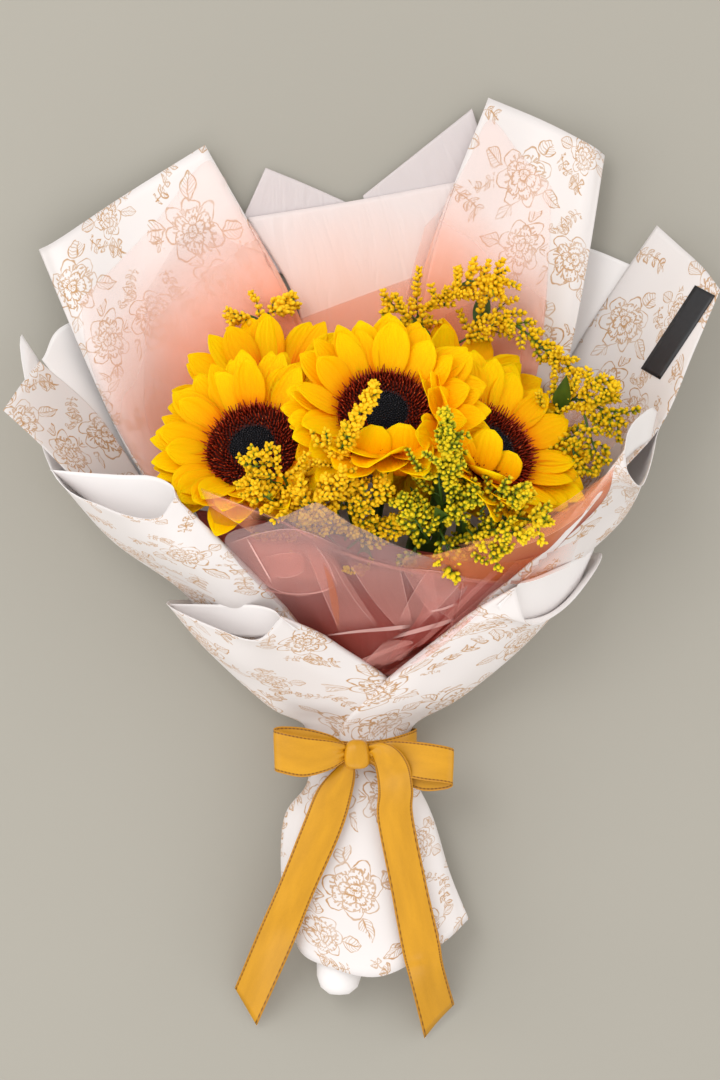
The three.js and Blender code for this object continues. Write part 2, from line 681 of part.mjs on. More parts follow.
function plumePieces({ stem, plume, twigs, reach, leaves }, random) {
  const path = new THREE.CatmullRomCurve3(stem.map((p) => new THREE.Vector3(...p)));
  const pieces = [bud(path.getPoint(1), path.getTangent(1), 1)];
  pieces.push(...leaves.flatMap((leaf) => lanceLeaf(path, leaf)));
  for (let k = 0; k < twigs; k++) {
    const share = plume + (0.985 - plume) * (k + 0.5) / twigs;
    const along = path.getTangent(share);
    const side = new THREE.Vector3(0, 0, 1).cross(along).normalize().multiplyScalar(k % 2 ? 1 : -1);
    const up = along.clone().cross(side).normalize();
    if (up.z < 0) up.negate();
    const length = reach * (1 - 0.6 * k / twigs) * (0.85 + 0.3 * random());
    pieces.push(...twigWithBuds(path.getPoint(share), along, side, up, length, random));
  }
  return pieces;
}

// ---------------------------------------------------------------- ribbon

const KNOT = [0, -3, 58.8];

function ribbonBand() {
  const shape = new THREE.Shape();
  shape.absellipse(0, 0, BAND_OVAL[0] + PAPER, BAND_OVAL[1] + PAPER, 0, 2 * Math.PI);
  const hole = new THREE.Path();
  hole.absellipse(0, 0, ...BAND_OVAL, 0, 2 * Math.PI, true);
  shape.holes.push(hole);
  const options = { depth: BAND_WIDTH, bevelEnabled: false, curveSegments: 9 };
  const band = new THREE.ExtrudeGeometry(shape, options);
  return toSolid(band.rotateX(Math.PI / 2).translate(0, BAND_WIDTH / 2, NECK_HEIGHT));
}

function ribbonKnot() {
  const shape = new THREE.SphereGeometry(1, 10, 6);
  const position = shape.attributes.position;
  const soften = (value) => Math.sign(value) * Math.abs(value) ** 0.7;
  for (let k = 0; k < position.count; k++) {
    const [x, y, z] = [position.getX(k), position.getY(k), position.getZ(k)].map(soften);
    position.setXYZ(k, 9 * x, 9.8 * y, 6.2 * z);
  }
  return toSolid(shape.translate(...KNOT));
}

// A bow loop leaves the knot, turns over at its far end and comes back beneath. Each turn:
// how far out, how high above the knot's middle, how far down the page, and its half width.
function bowLoop(side, turns) {
  const layout = [-1, 0, 1].map((edge) => turns.map(([out, height, drop, half]) => (
    [side * out, KNOT[1] - drop + edge * half, KNOT[2] + height]
  )));
  return sheet(side > 0 ? layout : layout.map((row) => row.slice().reverse()), 12, 2);
}

const LEFT_LOOP = [
  [9.6, 2, 0, 6], [24, 8, -3, 11], [44, 9, -3, 15], [54, 3.5, -3, 16.5],
  [43, -1.5, -3, 15.5], [24, -1.8, -3, 11], [9.6, -1.8, 0, 6],
];
const RIGHT_LOOP = [
  [9.6, 2, 0, 6], [26, 8, 4, 11], [50, 9, 7, 15], [63, 3.5, 8, 16.5],
  [51, -1.5, 7, 15.5], [26, -1.8, 4, 11], [9.6, -1.8, 0, 6],
];

// ---------------------------------------------------------------- the lower paper

const SKIRT_ANGLES = [278, 318, 360, 405, 450, 495, 540, 585, 622];

// A ring of points round the stems: its middle across, its half width and half height,
// its Y, how much its sides lift and lean, and how deep its pleats are.
function skirtRow(middle, halfWidth, halfHeight, y, lift, lean, pleat) {
  return SKIRT_ANGLES.map((degrees) => {
    const angle = THREE.MathUtils.degToRad(degrees);
    const wave = 1 + pleat * Math.cos(5 * angle);
    return [
      middle + halfWidth * wave * Math.cos(angle),
      y + lift * Math.cos(angle) ** 2 + lean * Math.cos(angle),
      NECK_HEIGHT - 1 + halfHeight * wave * Math.sin(angle),
    ];
  });
}

const SKIRT = [
  skirtRow(14, 58, 22.5, -152, 29, 7, 0.04),
  skirtRow(4, 56, 21.5, -98, 10, 3, 0.04),
  skirtRow(0, 50, 20.5, -52, 4, 0, 0.03),
  skirtRow(3, 38, 19, -27, 0, 0, 0.01),
  neckRow(SKIRT_NECK, SKIRT_ANGLES, -12),
  neckRow(SKIRT_NECK, SKIRT_ANGLES, 8),
];

// The rounded roll of white paper round the cut ends, which stand in holes in it.
function stemEndWrap() {
  const profile = [[0, -40], [7, -39], [12.5, -34.5], [15, -27], [15.5, 0], [15.5, 22], [0, 22]];
  const roll = toSolid(lathe(profile, 11).rotateX(-Math.PI / 2)).translate([-12, -127, 24.5]);
  return Object.values(HEADS).reduce((wrap, { place }) => {
    const hole = [-90, STEM_END - 1].map((y) => bundlePoint(place, y));
    return wrap.subtract(tube(hole, HOLE_RADIUS, 6, 1));
  }, roll);
}

// ---------------------------------------------------------------- the pieces

function seeded(seed) {
  let state = seed;
  return () => {
    state = (state * 1664525 + 1013904223) % 4294967296;
    return state / 4294967296;
  };
}

const RIGHT_ANGLES = [-96, -65, -30, 5, 40, 72, 100];
const LEFT_ANGLES = [78, 108, 140, 175, 210, 245, 276];

// A lower wrap starts inside the ribbon, gathered to the oval of the neck.
function gathered(neck, angles, wrap) {
  return [neckRow(neck, angles, -8), neckRow(neck, angles, 14), ...wrap];
}

const paper = { roughness: 0.55 };
const film = { roughness: 0.35 };

const rightLower = sheet(gathered(RIGHT_NECK, RIGHT_ANGLES, RIGHT_LOWER_WRAP), 9, 7);
const leftLower = sheet(gathered(LEFT_NECK, LEFT_ANGLES, LEFT_LOWER_WRAP), 9, 7);
const rightFront = sheet(RIGHT_FRONT_WRAP, 9, 7);
const leftFront = sheet(LEFT_FRONT_WRAP, 9, 7);
addNode("right_lower_wrap", PAPER_PRINT, join([rightLower, sheet(LIP_RIGHT_LOWER, 3, 2)]), paper);
addNode("left_lower_wrap", PAPER_PRINT, join([leftLower, sheet(LIP_LEFT_LOWER, 3, 2)]), paper);
addNode("right_front_wrap", PAPER_PRINT, join([rightFront, sheet(LIP_RIGHT_UPPER, 3, 2)]), paper);
addNode("left_front_wrap", PAPER_PRINT, join([leftFront, sheet(LIP_LEFT_UPPER, 3, 2)]), paper);
addNode("left_side_panel", PAPER_PRINT, sheet(LEFT_SIDE_PANEL, 4, 6), paper);
addNode("left_plain_sheet", PAPER_PLAIN, sheet(LEFT_PLAIN_SHEET, 4, 4), paper);
addNode("left_tall_panel", PAPER_PRINT, sheet(LEFT_TALL_PANEL, 6, 5), paper);
addNode("right_plain_sheet", PAPER_PLAIN, sheet(RIGHT_PLAIN_SHEET, 3, 3), paper);
addNode("right_tall_panel", PAPER_PRINT, sheet(RIGHT_TALL_PANEL, 6, 5), paper);
addNode("right_side_panel", PAPER_PRINT, sheet(RIGHT_SIDE_PANEL, 5, 6), paper);
const labelPlace = { part: [0.53, 0.75, 0.58, 0.92], lean: 0.13, lift: PAPER + 2 * GAP };
addNode("blank_label", LABEL, sheet(RIGHT_SIDE_PANEL, 2, 3, labelPlace), { roughness: 0.5 });
addNode("back_tissue_left", TISSUE, sheet(TISSUE_LEFT, 3, 3), film);
addNode("back_tissue_right", TISSUE, sheet(TISSUE_RIGHT, 3, 3), film);
addNode("back_tissue_middle", TISSUE, sheet(TISSUE_CENTRE, 4, 4), film);
addNode("left_film", FILM_PEACH, sheet(LEFT_FILM, 4, 5), film);
addNode("right_film", FILM_PEACH, sheet(RIGHT_FILM, 4, 5), film);
addNode("right_side_film", FILM_PEACH, sheet(RIGHT_SIDE_FILM, 4, 4), film);
addNode("front_film_deep", FILM_ROSE, sheet(FRONT_FILM_DEEP, 5, 5), film);
addNode("front_film_near", FILM_ROSE, sheet(FRONT_FILM_NEAR, 7, 5), film);

// The stems and discs stand first; petals, bracts, leaves, twigs and buds are then fitted
// among them. Each node gives up the room of its own stem while it is made.
const heads = Object.entries(HEADS).map(([name, head], index) => (
  { name, head, matrix: headMatrix(head), random: seeded(11 + index) }
));
const sprays = Object.entries(SPRAYS).map(([name, shape], index) => (
  { name: `goldenrod_${name}`, shape, random: seeded(31 + index) }
));
for (const piece of heads) {
  piece.stem = headStem(piece.head, piece.matrix);
  keepRoom(`${piece.name}_stem`, piece.stem);
  addNode(`${piece.name}_disc_ring`, DISC_BROWN, discRing().transform(piece.matrix.elements));
  addNode(`${piece.name}_disc_centre`, DISC_BLACK, discCentre().transform(piece.matrix.elements));
}
for (const piece of sprays) {
  piece.stem = sprayStem(piece.shape);
  keepRoom(piece.name, piece.stem);
}
for (const { name, head, matrix, random } of heads) {
  addNode(`${name}_petals`, YELLOW, petalRing(head, matrix, random));
}
for (const { name, matrix, stem } of heads) {
  giveRoom(`${name}_stem`);
  addNode(`${name}_stem`, GREEN, join([stem, ...bracts(matrix)]));
}
for (const { name, shape, stem, random } of sprays) {
  giveRoom(name);
  addNode(name, GOLDENROD, largest(join([stem, ...plumePieces(shape, random)])));
}

addNode("lower_paper", PAPER_PRINT, sheet(SKIRT, 12, 7), paper);
addNode("stem_end_wrap", PAPER_PLAIN, stemEndWrap(), paper);
addNode("ribbon_band", SATIN, ribbonBand());
addNode("ribbon_knot", SATIN, ribbonKnot());
addNode("ribbon_loop_left", SATIN, bowLoop(-1, LEFT_LOOP));
addNode("ribbon_loop_right", SATIN, bowLoop(1, RIGHT_LOOP));
addNode("ribbon_tail_left", SATIN, sheet(TAIL_LEFT, 2, 10));
addNode("ribbon_tail_right", SATIN, sheet(TAIL_RIGHT, 2, 10));

// The origin is the middle of the footprint, on the table.
const bounds = new THREE.Box3().setFromObject(bunch);
const middle = bounds.getCenter(new THREE.Vector3());
for (const mesh of bunch.children) {
  mesh.geometry.translate(-middle.x, -middle.y, -bounds.min.z);
}

export default bunch;
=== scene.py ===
"""A bunch of sunflowers and goldenrod in printed paper and pink film, laid on a table.

Every length in the layouts is in millimetres from the middle of the tie, which lies under
the knot: X across the bunch, Y towards the tips of the paper and Z up from the table. Flat
sizes and settings are in metres.
"""

from functools import partialmethod
import math
import random

import bmesh
import bpy
from bpy.props import FloatProperty, FloatVectorProperty, IntProperty, PointerProperty
from mathutils import Matrix, Vector
from mathutils.bvhtree import BVHTree
from mathutils.noise import noise


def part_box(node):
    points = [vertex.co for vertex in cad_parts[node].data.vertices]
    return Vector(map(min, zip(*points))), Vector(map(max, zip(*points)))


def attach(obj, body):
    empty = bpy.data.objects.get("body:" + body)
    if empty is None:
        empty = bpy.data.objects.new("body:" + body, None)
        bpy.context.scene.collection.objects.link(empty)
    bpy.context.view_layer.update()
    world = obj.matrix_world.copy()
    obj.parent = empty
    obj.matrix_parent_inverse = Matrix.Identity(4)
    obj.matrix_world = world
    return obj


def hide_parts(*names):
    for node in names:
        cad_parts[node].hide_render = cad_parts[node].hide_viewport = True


bl_info = {
    "name": "Sunflower bunch",
    "version": (1, 0, 0),
    "blender": (4, 5, 0),
    "location": "3D View > Sidebar > Bunch",
    "description": "Builds a bunch of sunflowers in printed paper, pink film and a satin bow",
    "category": "Add Mesh",
}

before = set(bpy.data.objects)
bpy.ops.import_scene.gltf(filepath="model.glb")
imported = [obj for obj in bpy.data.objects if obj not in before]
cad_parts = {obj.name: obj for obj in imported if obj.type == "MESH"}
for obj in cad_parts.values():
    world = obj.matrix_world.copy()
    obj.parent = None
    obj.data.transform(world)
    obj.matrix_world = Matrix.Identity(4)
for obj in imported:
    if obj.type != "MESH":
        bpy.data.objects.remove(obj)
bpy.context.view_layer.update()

MM = 0.001
UP = Vector((0, 0, 1))
# A full turn in radians, rounded, where only a pattern depends on it.
TURN = 6.28
GOLDEN_ANGLE = math.radians(137.508)
# Points closer than this are one point.
TOUCHING = 0.001

# The band's lowest point stands a little above the table.
BAND_FOOT = 0.8
BAND_LOW, BAND_HIGH = (Vector(corner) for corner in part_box("ribbon_band"))
TIE = Vector((
    (BAND_LOW.x + BAND_HIGH.x) / 2,
    (BAND_LOW.y + BAND_HIGH.y) / 2,
    BAND_LOW.z - BAND_FOOT * MM,
))
TO_FRAME = Matrix.Translation(TIE) @ Matrix.Scale(MM, 4)

# The band of ribbon, and how high the middle of the neck lies in it.
BAND_WIDTH = 25.0
BAND_LENGTH = 205
NECK_HEIGHT = 26.5
# The neck is an oval: half its width and half its height, for the band and for each paper.
BAND_OVAL = (39.6, 24.9)
RIGHT_NECK = (38.0, 23.2)
LEFT_NECK = (35.6, 20.8)
SKIRT_NECK = (31.8, 17.2)

# The heads, and their stems in the tied bundle.
DISC_RADIUS = 31.0
CENTRE_RADIUS = 16.0
STEM_RADIUS = 3.6
BUNDLE_RADIUS = 9.5
BUNDLE_HEIGHT = NECK_HEIGHT - 2
STEM_LEAN = 0.085
STEM_END = -150.0
STEM_CLEARANCE = 22.0
BRACT_WIDTH = 11

# The goldenrod: the radii of its stems, branches and twigs, how far apart the twigs of a
# branch are, and its leaves.
SPRAY_STEM_RADIUS = 1.5
BRANCH_RADIUS = 0.9
TWIG_RADIUS = 0.6
TWIG_SPACING = 5.2
LEAF_WIDTH = 12

# The knot's middle, and half its size each way.
KNOT = Vector((0.0, -3.0, 58.8))
KNOT_SIZE = (8.6, 9.8, 6.4)

# The roll of paper round the cut stems: its outline from the end upwards, and where it lies.
STEM_END_OUTLINE = ((0, -40), (7, -39), (12.5, -34.5), (15, -27), (15.5, 0), (15.5, 22))
STEM_END_PLACE = (-12, -127, 24.5)

# How far the middle of the flowers is from the tie, in metres.
BLOOM_DISTANCE = 0.21

# The stage: what the camera looks at, in millimetres from the tie, half the table in metres,
# and the sky.
VIEW_CENTRE = Vector((2.04, 139.4, 0))
TABLE_REACH = 4.0
SKY = (1.0, 0.99, 0.97, 1)
SKY_STRENGTH = 1.0
# Each light: its name, its place and its size in metres, and its power in watts.
LIGHTS = (
    ("key", (-0.9, 0.9, 2.4), 1.1, 15),
    ("front fill", (-0.4, -2.0, 0.9), 1.6, 9),
    ("left fill", (-1.9, 0.3, 0.8), 1.6, 9),
    ("right fill", (1.9, 0.2, 0.8), 1.6, 7),
)


# ---------------------------------------------------------------- layouts of the sheets

# Rows of points on a sheet's outer side, from the tie upwards. A wrap's row goes round the
# bunch: the right one from the middle of the back to the front, the left one the other way.

RIGHT_LOWER_WRAP = [
    [(3, 31, 0), (26, 31, 0), (53, 32, 10), (71, 34, 32), (62, 37, 54), (40, 40, 66), (17, 39, 67)],
    [(3, 65, 0), (43, 66, 0), (87, 68, 12), (116, 73, 46), (107, 79, 84), (88, 84, 101), (66, 80, 99)],
    [(3, 102, 0), (67, 105, 0), (131, 119, 8), (164, 130, 42), (141, 97, 66), (113, 84, 99),
     (103, 108, 120)],
]
RIGHT_FRONT_WRAP = [
    [(3, 20, 6), (19, 20, 6.5), (35, 22, 14), (42, 24, 28), (37, 26, 40), (26, 26, 45), (14, 27, 46)],
    [(3, 38, 3.4), (27, 38, 4.4), (51, 41, 14), (63, 44, 31), (59, 46, 44), (47, 47, 52), (31, 43, 52)],
    [(3, 68, 2.6), (46, 69, 3.4), (86, 73, 18), (107, 78, 44), (101, 83, 70), (84, 85, 84), (62, 76, 80)],
    [(3, 105, 2.6), (63, 107, 3.4), (119, 116, 20), (146, 122, 52), (137, 129, 86), (124, 132, 104),
     (111, 115, 106)],
    [(3, 143, 0), (77, 146, 0), (146, 156, 24), (179, 157, 62), (172, 166, 104), (160, 169, 124),
     (148, 156, 128)],
    [(3, 178, 0), (112, 190, 1.5), (197, 227, 52), (197, 205, 84), (186, 175, 118), (175, 182, 138),
     (172, 197, 142)],
]
LEFT_LOWER_WRAP = [
    [(23, 39, 60), (-5, 35, 64), (-38, 31, 56), (-60, 28, 34), (-45, 30, 10), (-18, 31, 0), (-3, 31, 0)],
    [(-16, 69, 90), (-44, 61, 94), (-77, 57, 76), (-101, 66, 44), (-83, 65, 12), (-46, 65, 0),
     (-3, 65, 0)],
    [(-49, 89, 118), (-66, 74, 112), (-97, 83, 88), (-127, 97, 54), (-106, 99, 14), (-59, 99, 0),
     (-3, 102, 0)],
]
LEFT_FRONT_WRAP = [
    [(6, 24, 40), (-6, 23, 42), (-25, 23, 38), (-38, 24, 26), (-29, 23, 12), (-15, 21, 6), (-3, 20, 6)],
    [(-26, 63, 74), (-50, 58, 76), (-73, 63, 60), (-87, 66, 40), (-74, 65, 16), (-42, 63, 3.4),
     (-3, 61, 2.6)],
    [(-54, 96, 93), (-76, 91, 83), (-101, 100, 66), (-117, 105, 46), (-101, 106, 20), (-59, 99, 3.4),
     (-3, 99, 2.6)],
    [(-87, 132, 130), (-111, 126, 126), (-139, 130, 98), (-163, 139, 60), (-146, 139, 24),
     (-79, 133, 0), (-3, 139, 0)],
    [(-117, 166, 148), (-130, 153, 140), (-163, 160, 118), (-202, 186, 80), (-225, 275, 46),
     (-191, 241, 11), (-3, 200, 0)],
]

# The plain side that shows in each wrap's open top, up to the corner of its front edge.
LIP_RIGHT_LOWER = [
    [(91, 97, 112), (96, 90, 104), (104, 86, 93), (117, 87, 79), (131, 93, 63), (147, 108, 46)],
    [(102, 107, 120), (106, 112, 113), (116, 115, 100), (131, 121, 84), (147, 128, 66), (158, 134, 48)],
]
LIP_LEFT_LOWER = [
    [(-118, 87, 50), (-98, 80, 60), (-80, 76, 74), (-62, 76, 90), (-46, 80, 103), (-38, 81, 110)],
    [(-125, 97, 54), (-104, 97, 66), (-84, 97, 82), (-66, 97, 98), (-54, 94, 112), (-49, 89, 119)],
]
LIP_LEFT_UPPER = [
    [(-187, 173, 72), (-170, 161, 84), (-146, 150, 98), (-122, 148, 116), (-108, 150, 132),
     (-104, 151, 141)],
    [(-202, 186, 80), (-182, 184, 90), (-154, 182, 106), (-133, 181, 124), (-119, 175, 142),
     (-116, 167, 149)],
]
LIP_RIGHT_UPPER = [
    [(167, 187, 136), (171, 190, 128), (176, 194, 118), (182, 199, 106), (189, 203, 94), (193, 206, 84)],
    [(172, 198, 143), (174, 208, 136), (179, 216, 126), (186, 222, 112), (193, 226, 98), (197, 224, 84)],
]

# The panels that stand behind and beside the flowers, from the outside of the bunch inwards.
LEFT_SIDE_PANEL = [
    [(-118, 110, 46), (-108, 114, 28), (-96, 118, 16)],
    [(-157, 148, 68), (-150, 166, 40), (-139, 173, 26)],
    [(-204, 198, 90), (-191, 212, 64), (-175, 225, 46)],
    [(-231, 224, 104), (-220, 242, 92), (-209, 257, 84)],
]
LEFT_PLAIN_SHEET = [
    [(-150, 178, 25), (-112, 182, 11), (-78, 186, 7.2)],
    [(-184, 225, 38), (-150, 236, 14), (-95, 246, 7.2)],
    [(-211, 260, 42), (-194, 286, 20), (-120, 302, 7.2)],
]
LEFT_TALL_PANEL = [
    [(-134, 168, 30), (-122, 172, 30), (-72, 178, 12), (-10, 182, 9.3)],
    [(-157, 205, 32), (-145, 209, 33), (-103, 226, 14), (-26, 244, 9.3)],
    [(-184, 264, 32), (-172, 269, 36), (-130, 298, 15), (-56, 322, 9.3)],
    [(-215, 336, 12), (-201, 342, 24), (-160, 371, 13), (-103, 407, 9.3)],
]
RIGHT_PLAIN_SHEET = [
    [(100, 226, 4.6), (128, 228, 4.6), (150, 232, 4.6)],
    [(120, 285, 4.6), (148, 285, 4.6), (174, 285, 4.6)],
    [(135, 344, 4.6), (162, 336, 4.6), (186, 326, 4.6)],
]
RIGHT_TALL_PANEL = [
    [(40, 215, 9.3), (83, 215, 9.3), (120, 218, 18), (132, 222, 26)],
    [(38, 262, 9.3), (90, 262, 9.3), (130, 262, 27), (143, 264, 30)],
    [(51, 339, 9.3), (104, 336, 9.3), (143, 329, 28), (155, 325, 28)],
    [(89, 439, 9.3), (127, 423, 10), (156, 406, 26), (167, 399, 18)],
]
RIGHT_SIDE_PANEL = [
    [(92, 142, 14), (107, 135, 28), (118, 130, 46), (124, 128, 62)],
    [(118, 207, 11), (142, 200, 24), (164, 191, 54), (173, 183, 88)],
    [(146, 265, 6.4), (171, 254, 20), (192, 236, 50), (202, 217, 80)],
    [(175, 311, 8), (194, 301, 22), (212, 283, 50), (223, 264, 72)],
    [(203, 352, 14), (217, 337, 30), (231, 321, 50), (241, 305, 66)],
]

# The label's two long sides, seen from above.
LABEL_SIDES = (((190.3, 254.1), (225.5, 309.1)), ((201.6, 246.1), (237.4, 301.2)))
LABEL_LIFT = 0.9

# Tissues and films, from the left edge to the right one.
TISSUE_LEFT = [
    [(-91, 329, 4.2), (-42, 318, 4.2), (8, 307, 4.2)],
    [(-76, 361, 4.2), (-38, 350, 4.2), (0, 338, 4.2)],
    [(-62, 392, 4.2), (-35, 381, 4.2), (-8, 369, 4.2)],
]
TISSUE_RIGHT = [
    [(20, 318, 5.4), (58, 322, 5.4), (96, 326, 5.4)],
    [(12, 346, 5.4), (52, 366, 5.4), (92, 386, 5.4)],
    [(4, 373, 5.4), (41, 402.5, 5.4), (78, 432, 5.4)],
]
# The pinker film that shows through the middle tissue, and its tall narrow fold.
TISSUE_CENTRE_FILM = [
    [(-44, 216, 7.4), (16, 216, 7.4), (75, 216, 7.4)],
    [(-42, 252, 7.4), (14, 258, 7.4), (70, 270, 7.4)],
    [(-42, 288, 7.4), (6, 306, 7.4), (56, 324, 7.4)],
]
TISSUE_CENTRE_FOLD = [
    [(30, 250, 8), (52, 255, 8), (74, 260, 8)],
    [(34, 305, 8), (53, 311, 8), (74, 317, 8)],
    [(46, 352, 8), (57, 364, 8), (70, 378, 8)],
]
TISSUE_CENTRE = [
    [(-45, 214, 6.6), (16, 214, 6.6), (77, 214, 6.6)],
    [(-39, 292, 6.6), (16, 295, 6.6), (77, 302, 6.6)],
    [(-74, 358, 6.6), (-5, 369, 6.6), (71, 383, 6.6)],
]
LEFT_FILM = [
    [(-136, 174, 30), (-112, 174, 28), (-84, 176, 18), (-48, 178, 12), (-12, 180, 11.6)],
    [(-162, 218, 34), (-136, 226, 28), (-100, 234, 16), (-60, 240, 11.6), (-22, 242, 11.6)],
    [(-180, 264, 34), (-148, 282, 30), (-108, 298, 16), (-72, 304, 11.6), (-42, 298, 11.6)],
    [(-186, 300, 24), (-140, 350, 18), (-102, 396, 15), (-84, 372, 11.6), (-68, 348, 11.6)],
]
RIGHT_FILM = [
    [(37, 218, 11.6), (57, 219, 11.6), (72, 220, 11.6), (92, 221, 12), (114, 222, 16)],
    [(36, 262, 11.6), (58, 263, 11.6), (76, 264, 11.6), (100, 264, 16), (124, 264, 24)],
    [(45, 322, 11.6), (66, 326, 11.6), (82, 330, 11.6), (106, 328, 14), (130, 326, 22)],
    [(62, 374, 11.6), (76, 398, 11.6), (90, 424, 11.6), (110, 402, 13), (132, 378, 17)],
]
# The second layer of each back film, where it is turned back on itself.
LEFT_FILM_TURN = [
    [(-122, 180, 30), (-84, 182, 18), (-50, 182, 12.6), (-20, 184, 12.6)],
    [(-142, 218, 32), (-100, 230, 20), (-60, 236, 12.6), (-30, 240, 12.6)],
    [(-144, 262, 32), (-108, 282, 22), (-76, 290, 12.6), (-44, 290, 12.6)],
    [(-142, 308, 26), (-112, 352, 16), (-86, 342, 14), (-60, 332, 12.6)],
]
RIGHT_FILM_TURN = [
    [(44, 222, 12.6), (72, 222, 12.6), (104, 222, 16)],
    [(46, 250, 12.6), (72, 254, 12.6), (112, 258, 24)],
    [(60, 292, 12.6), (80, 300, 12.6), (108, 296, 20)],
]
RIGHT_SIDE_FILM = [
    [(88, 148, 26), (102, 142, 40), (112, 138, 58)],
    [(124, 202, 26), (145, 196, 44), (160, 190, 76)],
    [(152, 246, 28), (172, 236, 48), (187, 222, 78)],
]
FRONT_FILM_DEEP = [
    [(-14, 46, 46), (12, 48, 48), (34, 50, 46)],
    [(-41, 72, 60), (9, 75, 66), (60, 75, 60)],
    [(-78, 107, 82), (-5, 108, 92), (101, 102, 80)],
    [(-106, 160, 110), (-8, 142, 114), (114, 118, 90)],
]
FRONT_FILM_NEAR = [
    [(-12, 50, 56), (-4, 51, 57), (4, 52, 58), (14, 53, 58), (22, 54, 57), (32, 55, 56)],
    [(-42, 80, 72), (-22, 81, 76), (0, 84, 80), (20, 84, 80), (42, 84, 77), (66, 84, 70)],
    [(-80, 124, 112), (-50, 122, 114), (-20, 118, 114), (8, 109, 106), (50, 100, 99), (94, 105, 94)],
    [(-100, 173, 148), (-64, 160, 150), (-30, 146, 145), (8, 128, 132), (50, 118.5, 120), (104, 113, 103)],
]
# Folds of film that lie over the front films: a pointed one, and one along the right wraps.
FILM_PEAK = [
    [(-12, 56, 66), (10, 56, 70), (30, 60, 70)],
    [(-44, 90, 95), (0, 96, 104), (56, 90, 92)],
    [(-85, 138, 132), (-20, 130, 142), (70, 116, 112)],
    [(-55, 152, 156), (-40, 157.5, 162), (-25, 163, 168), (-7.5, 152.5, 160), (10, 143, 152)],
]
FILM_RIGHT_FOLD = [
    [(20, 60, 62), (35, 66, 70), (52, 74, 78), (66, 84, 84), (84, 96, 90)],
    [(44, 100, 100), (67, 107, 104), (93, 116, 108), (122, 129, 112), (154, 159, 120)],
    [(28, 128, 122), (62, 133, 134), (98, 146, 144), (132, 158, 146), (166, 188, 144)],
]
# Folds that lie on the front films, seen from above: one side, the lift, the other side, and
# the finish: a pale layer, a painted glint along a crease, an amber fold or a peach one.
LAYER, PAINTED_GLINT, AMBER, PEACH = 0, 1, 2, 3
FILM_FOLDS = (
    (((-86, 136), (-62, 144), (-37, 146), (-8, 134)), 1.2,
     ((-67, 115), (-48, 105), (-25, 105), (-9, 112)), LAYER),
    (((-62, 128), (-47, 131), (-37, 131), (-33, 126)), 2.2,
     ((-56, 116), (-45, 115), (-36, 118), (-33, 122)), LAYER),
    (((-71.5, 141), (-63.5, 126), (-55.8, 112)), 1.8,
     ((-27.5, 138), (-18.5, 124.5), (-12.5, 110)), LAYER),
    (((-35, 139), (-23, 107), (-11, 78)), 1.6,
     ((-19, 131), (-3, 103), (13, 82)), LAYER),
    (((-20, 132), (-3, 102), (13, 82)), 2.4,
     ((-15, 129), (3, 100), (14, 84)), LAYER),
    (((-8, 129), (10, 101), (30, 78)), 1.4,
     ((27, 126), (32, 103), (37, 82)), LAYER),
    (((27, 125), (39, 104), (52, 87)), 2.0,
     ((48, 121), (52, 103), (54, 87)), LAYER),
    (((47, 122), (36, 104), (27, 86)), 2.6,
     ((71, 115), (58, 100), (40, 82)), LAYER),
    (((69, 115), (67, 99), (63, 82)), 1.8,
     ((98, 113), (83, 96), (66, 79)), LAYER),
    (((31, 121), (54, 119), (71, 115.5)), 2.2,
     ((54, 92), (60, 88), (64, 77)), LAYER),
    (((20.5, 74), (37, 72), (22, 66)), 2.4,
     ((17.5, 72), (12, 66), (4, 57)), LAYER),
    (((-3, 58), (15, 66), (35, 74)), 1.6,
     ((11, 53), (24, 58), (37, 63)), LAYER),
    (((-70, 109), (-42, 104.5), (-30, 105), (-12, 110.5)), 2.6,
     ((-70, 108), (-42, 103.2), (-30, 103.8), (-12, 109.4)), LAYER),
    (((19, 48), (48, 64), (69, 82), (88, 101), (108, 122)), 2.6,
     ((16, 50), (42, 66), (62, 85), (83, 104), (103, 125)), LAYER),
    (((16, 53), (41, 69), (58, 84), (77, 104), (94, 120)), 2.2,
     ((15, 54.5), (39, 71), (55, 86), (74, 106), (90, 121)), LAYER),
    (((-97, 171), (-66, 159), (-43, 149.5), (-17, 135)), 1.6,
     ((-97, 169.4), (-66, 157.3), (-43, 147.8), (-17, 133.3)), LAYER),
    (((-17, 135), (10, 126), (47.8, 118), (102, 111)), 1.6,
     ((-17, 132.8), (10, 124), (47.8, 115.6), (102, 108.8)), LAYER),
    (((-23, 76), (0, 78.5), (22, 80), (35, 82)), 3.0,
     ((-23, 76.6), (0, 80.2), (22, 82.6), (35, 84)), PAINTED_GLINT),
    (((22, 74), (38, 78), (56, 83), (64, 87)), 3.4,
     ((28, 78), (42, 82), (56, 86), (64, 88.5)), PAINTED_GLINT),
    (((47, 92), (56, 93.5), (66, 97)), 2.8,
     ((47, 93), (56, 95), (66, 99)), PAINTED_GLINT),
    (((-71.5, 141), (-63.5, 126), (-55.8, 112)), 3.0,
     ((-70.3, 141), (-62.3, 126), (-54.6, 112)), PAINTED_GLINT),
    (((-21.5, 125.4), (-15.4, 112.7), (-11.9, 97.7), (-11.5, 80)), 2.8,
     ((-22.2, 124.6), (-19, 112.7), (-17, 99), (-13, 81)), AMBER),
    (((-101, 172), (-80, 164), (-60, 156)), 4.0,
     ((-96, 162), (-80, 152), (-66, 143)), PEACH),
    (((64.6, 136.1), (93.2, 144), (126.4, 159), (155.7, 178.5)), 3.0,
     ((73.7, 129), (103, 134.2), (132.3, 147.2), (160.9, 169.4)), PEACH),
    (((20, 121), (60, 116), (104, 111), (138, 122)), 1.2,
     ((44, 129), (74, 125), (110, 127), (144, 140)), AMBER),
)

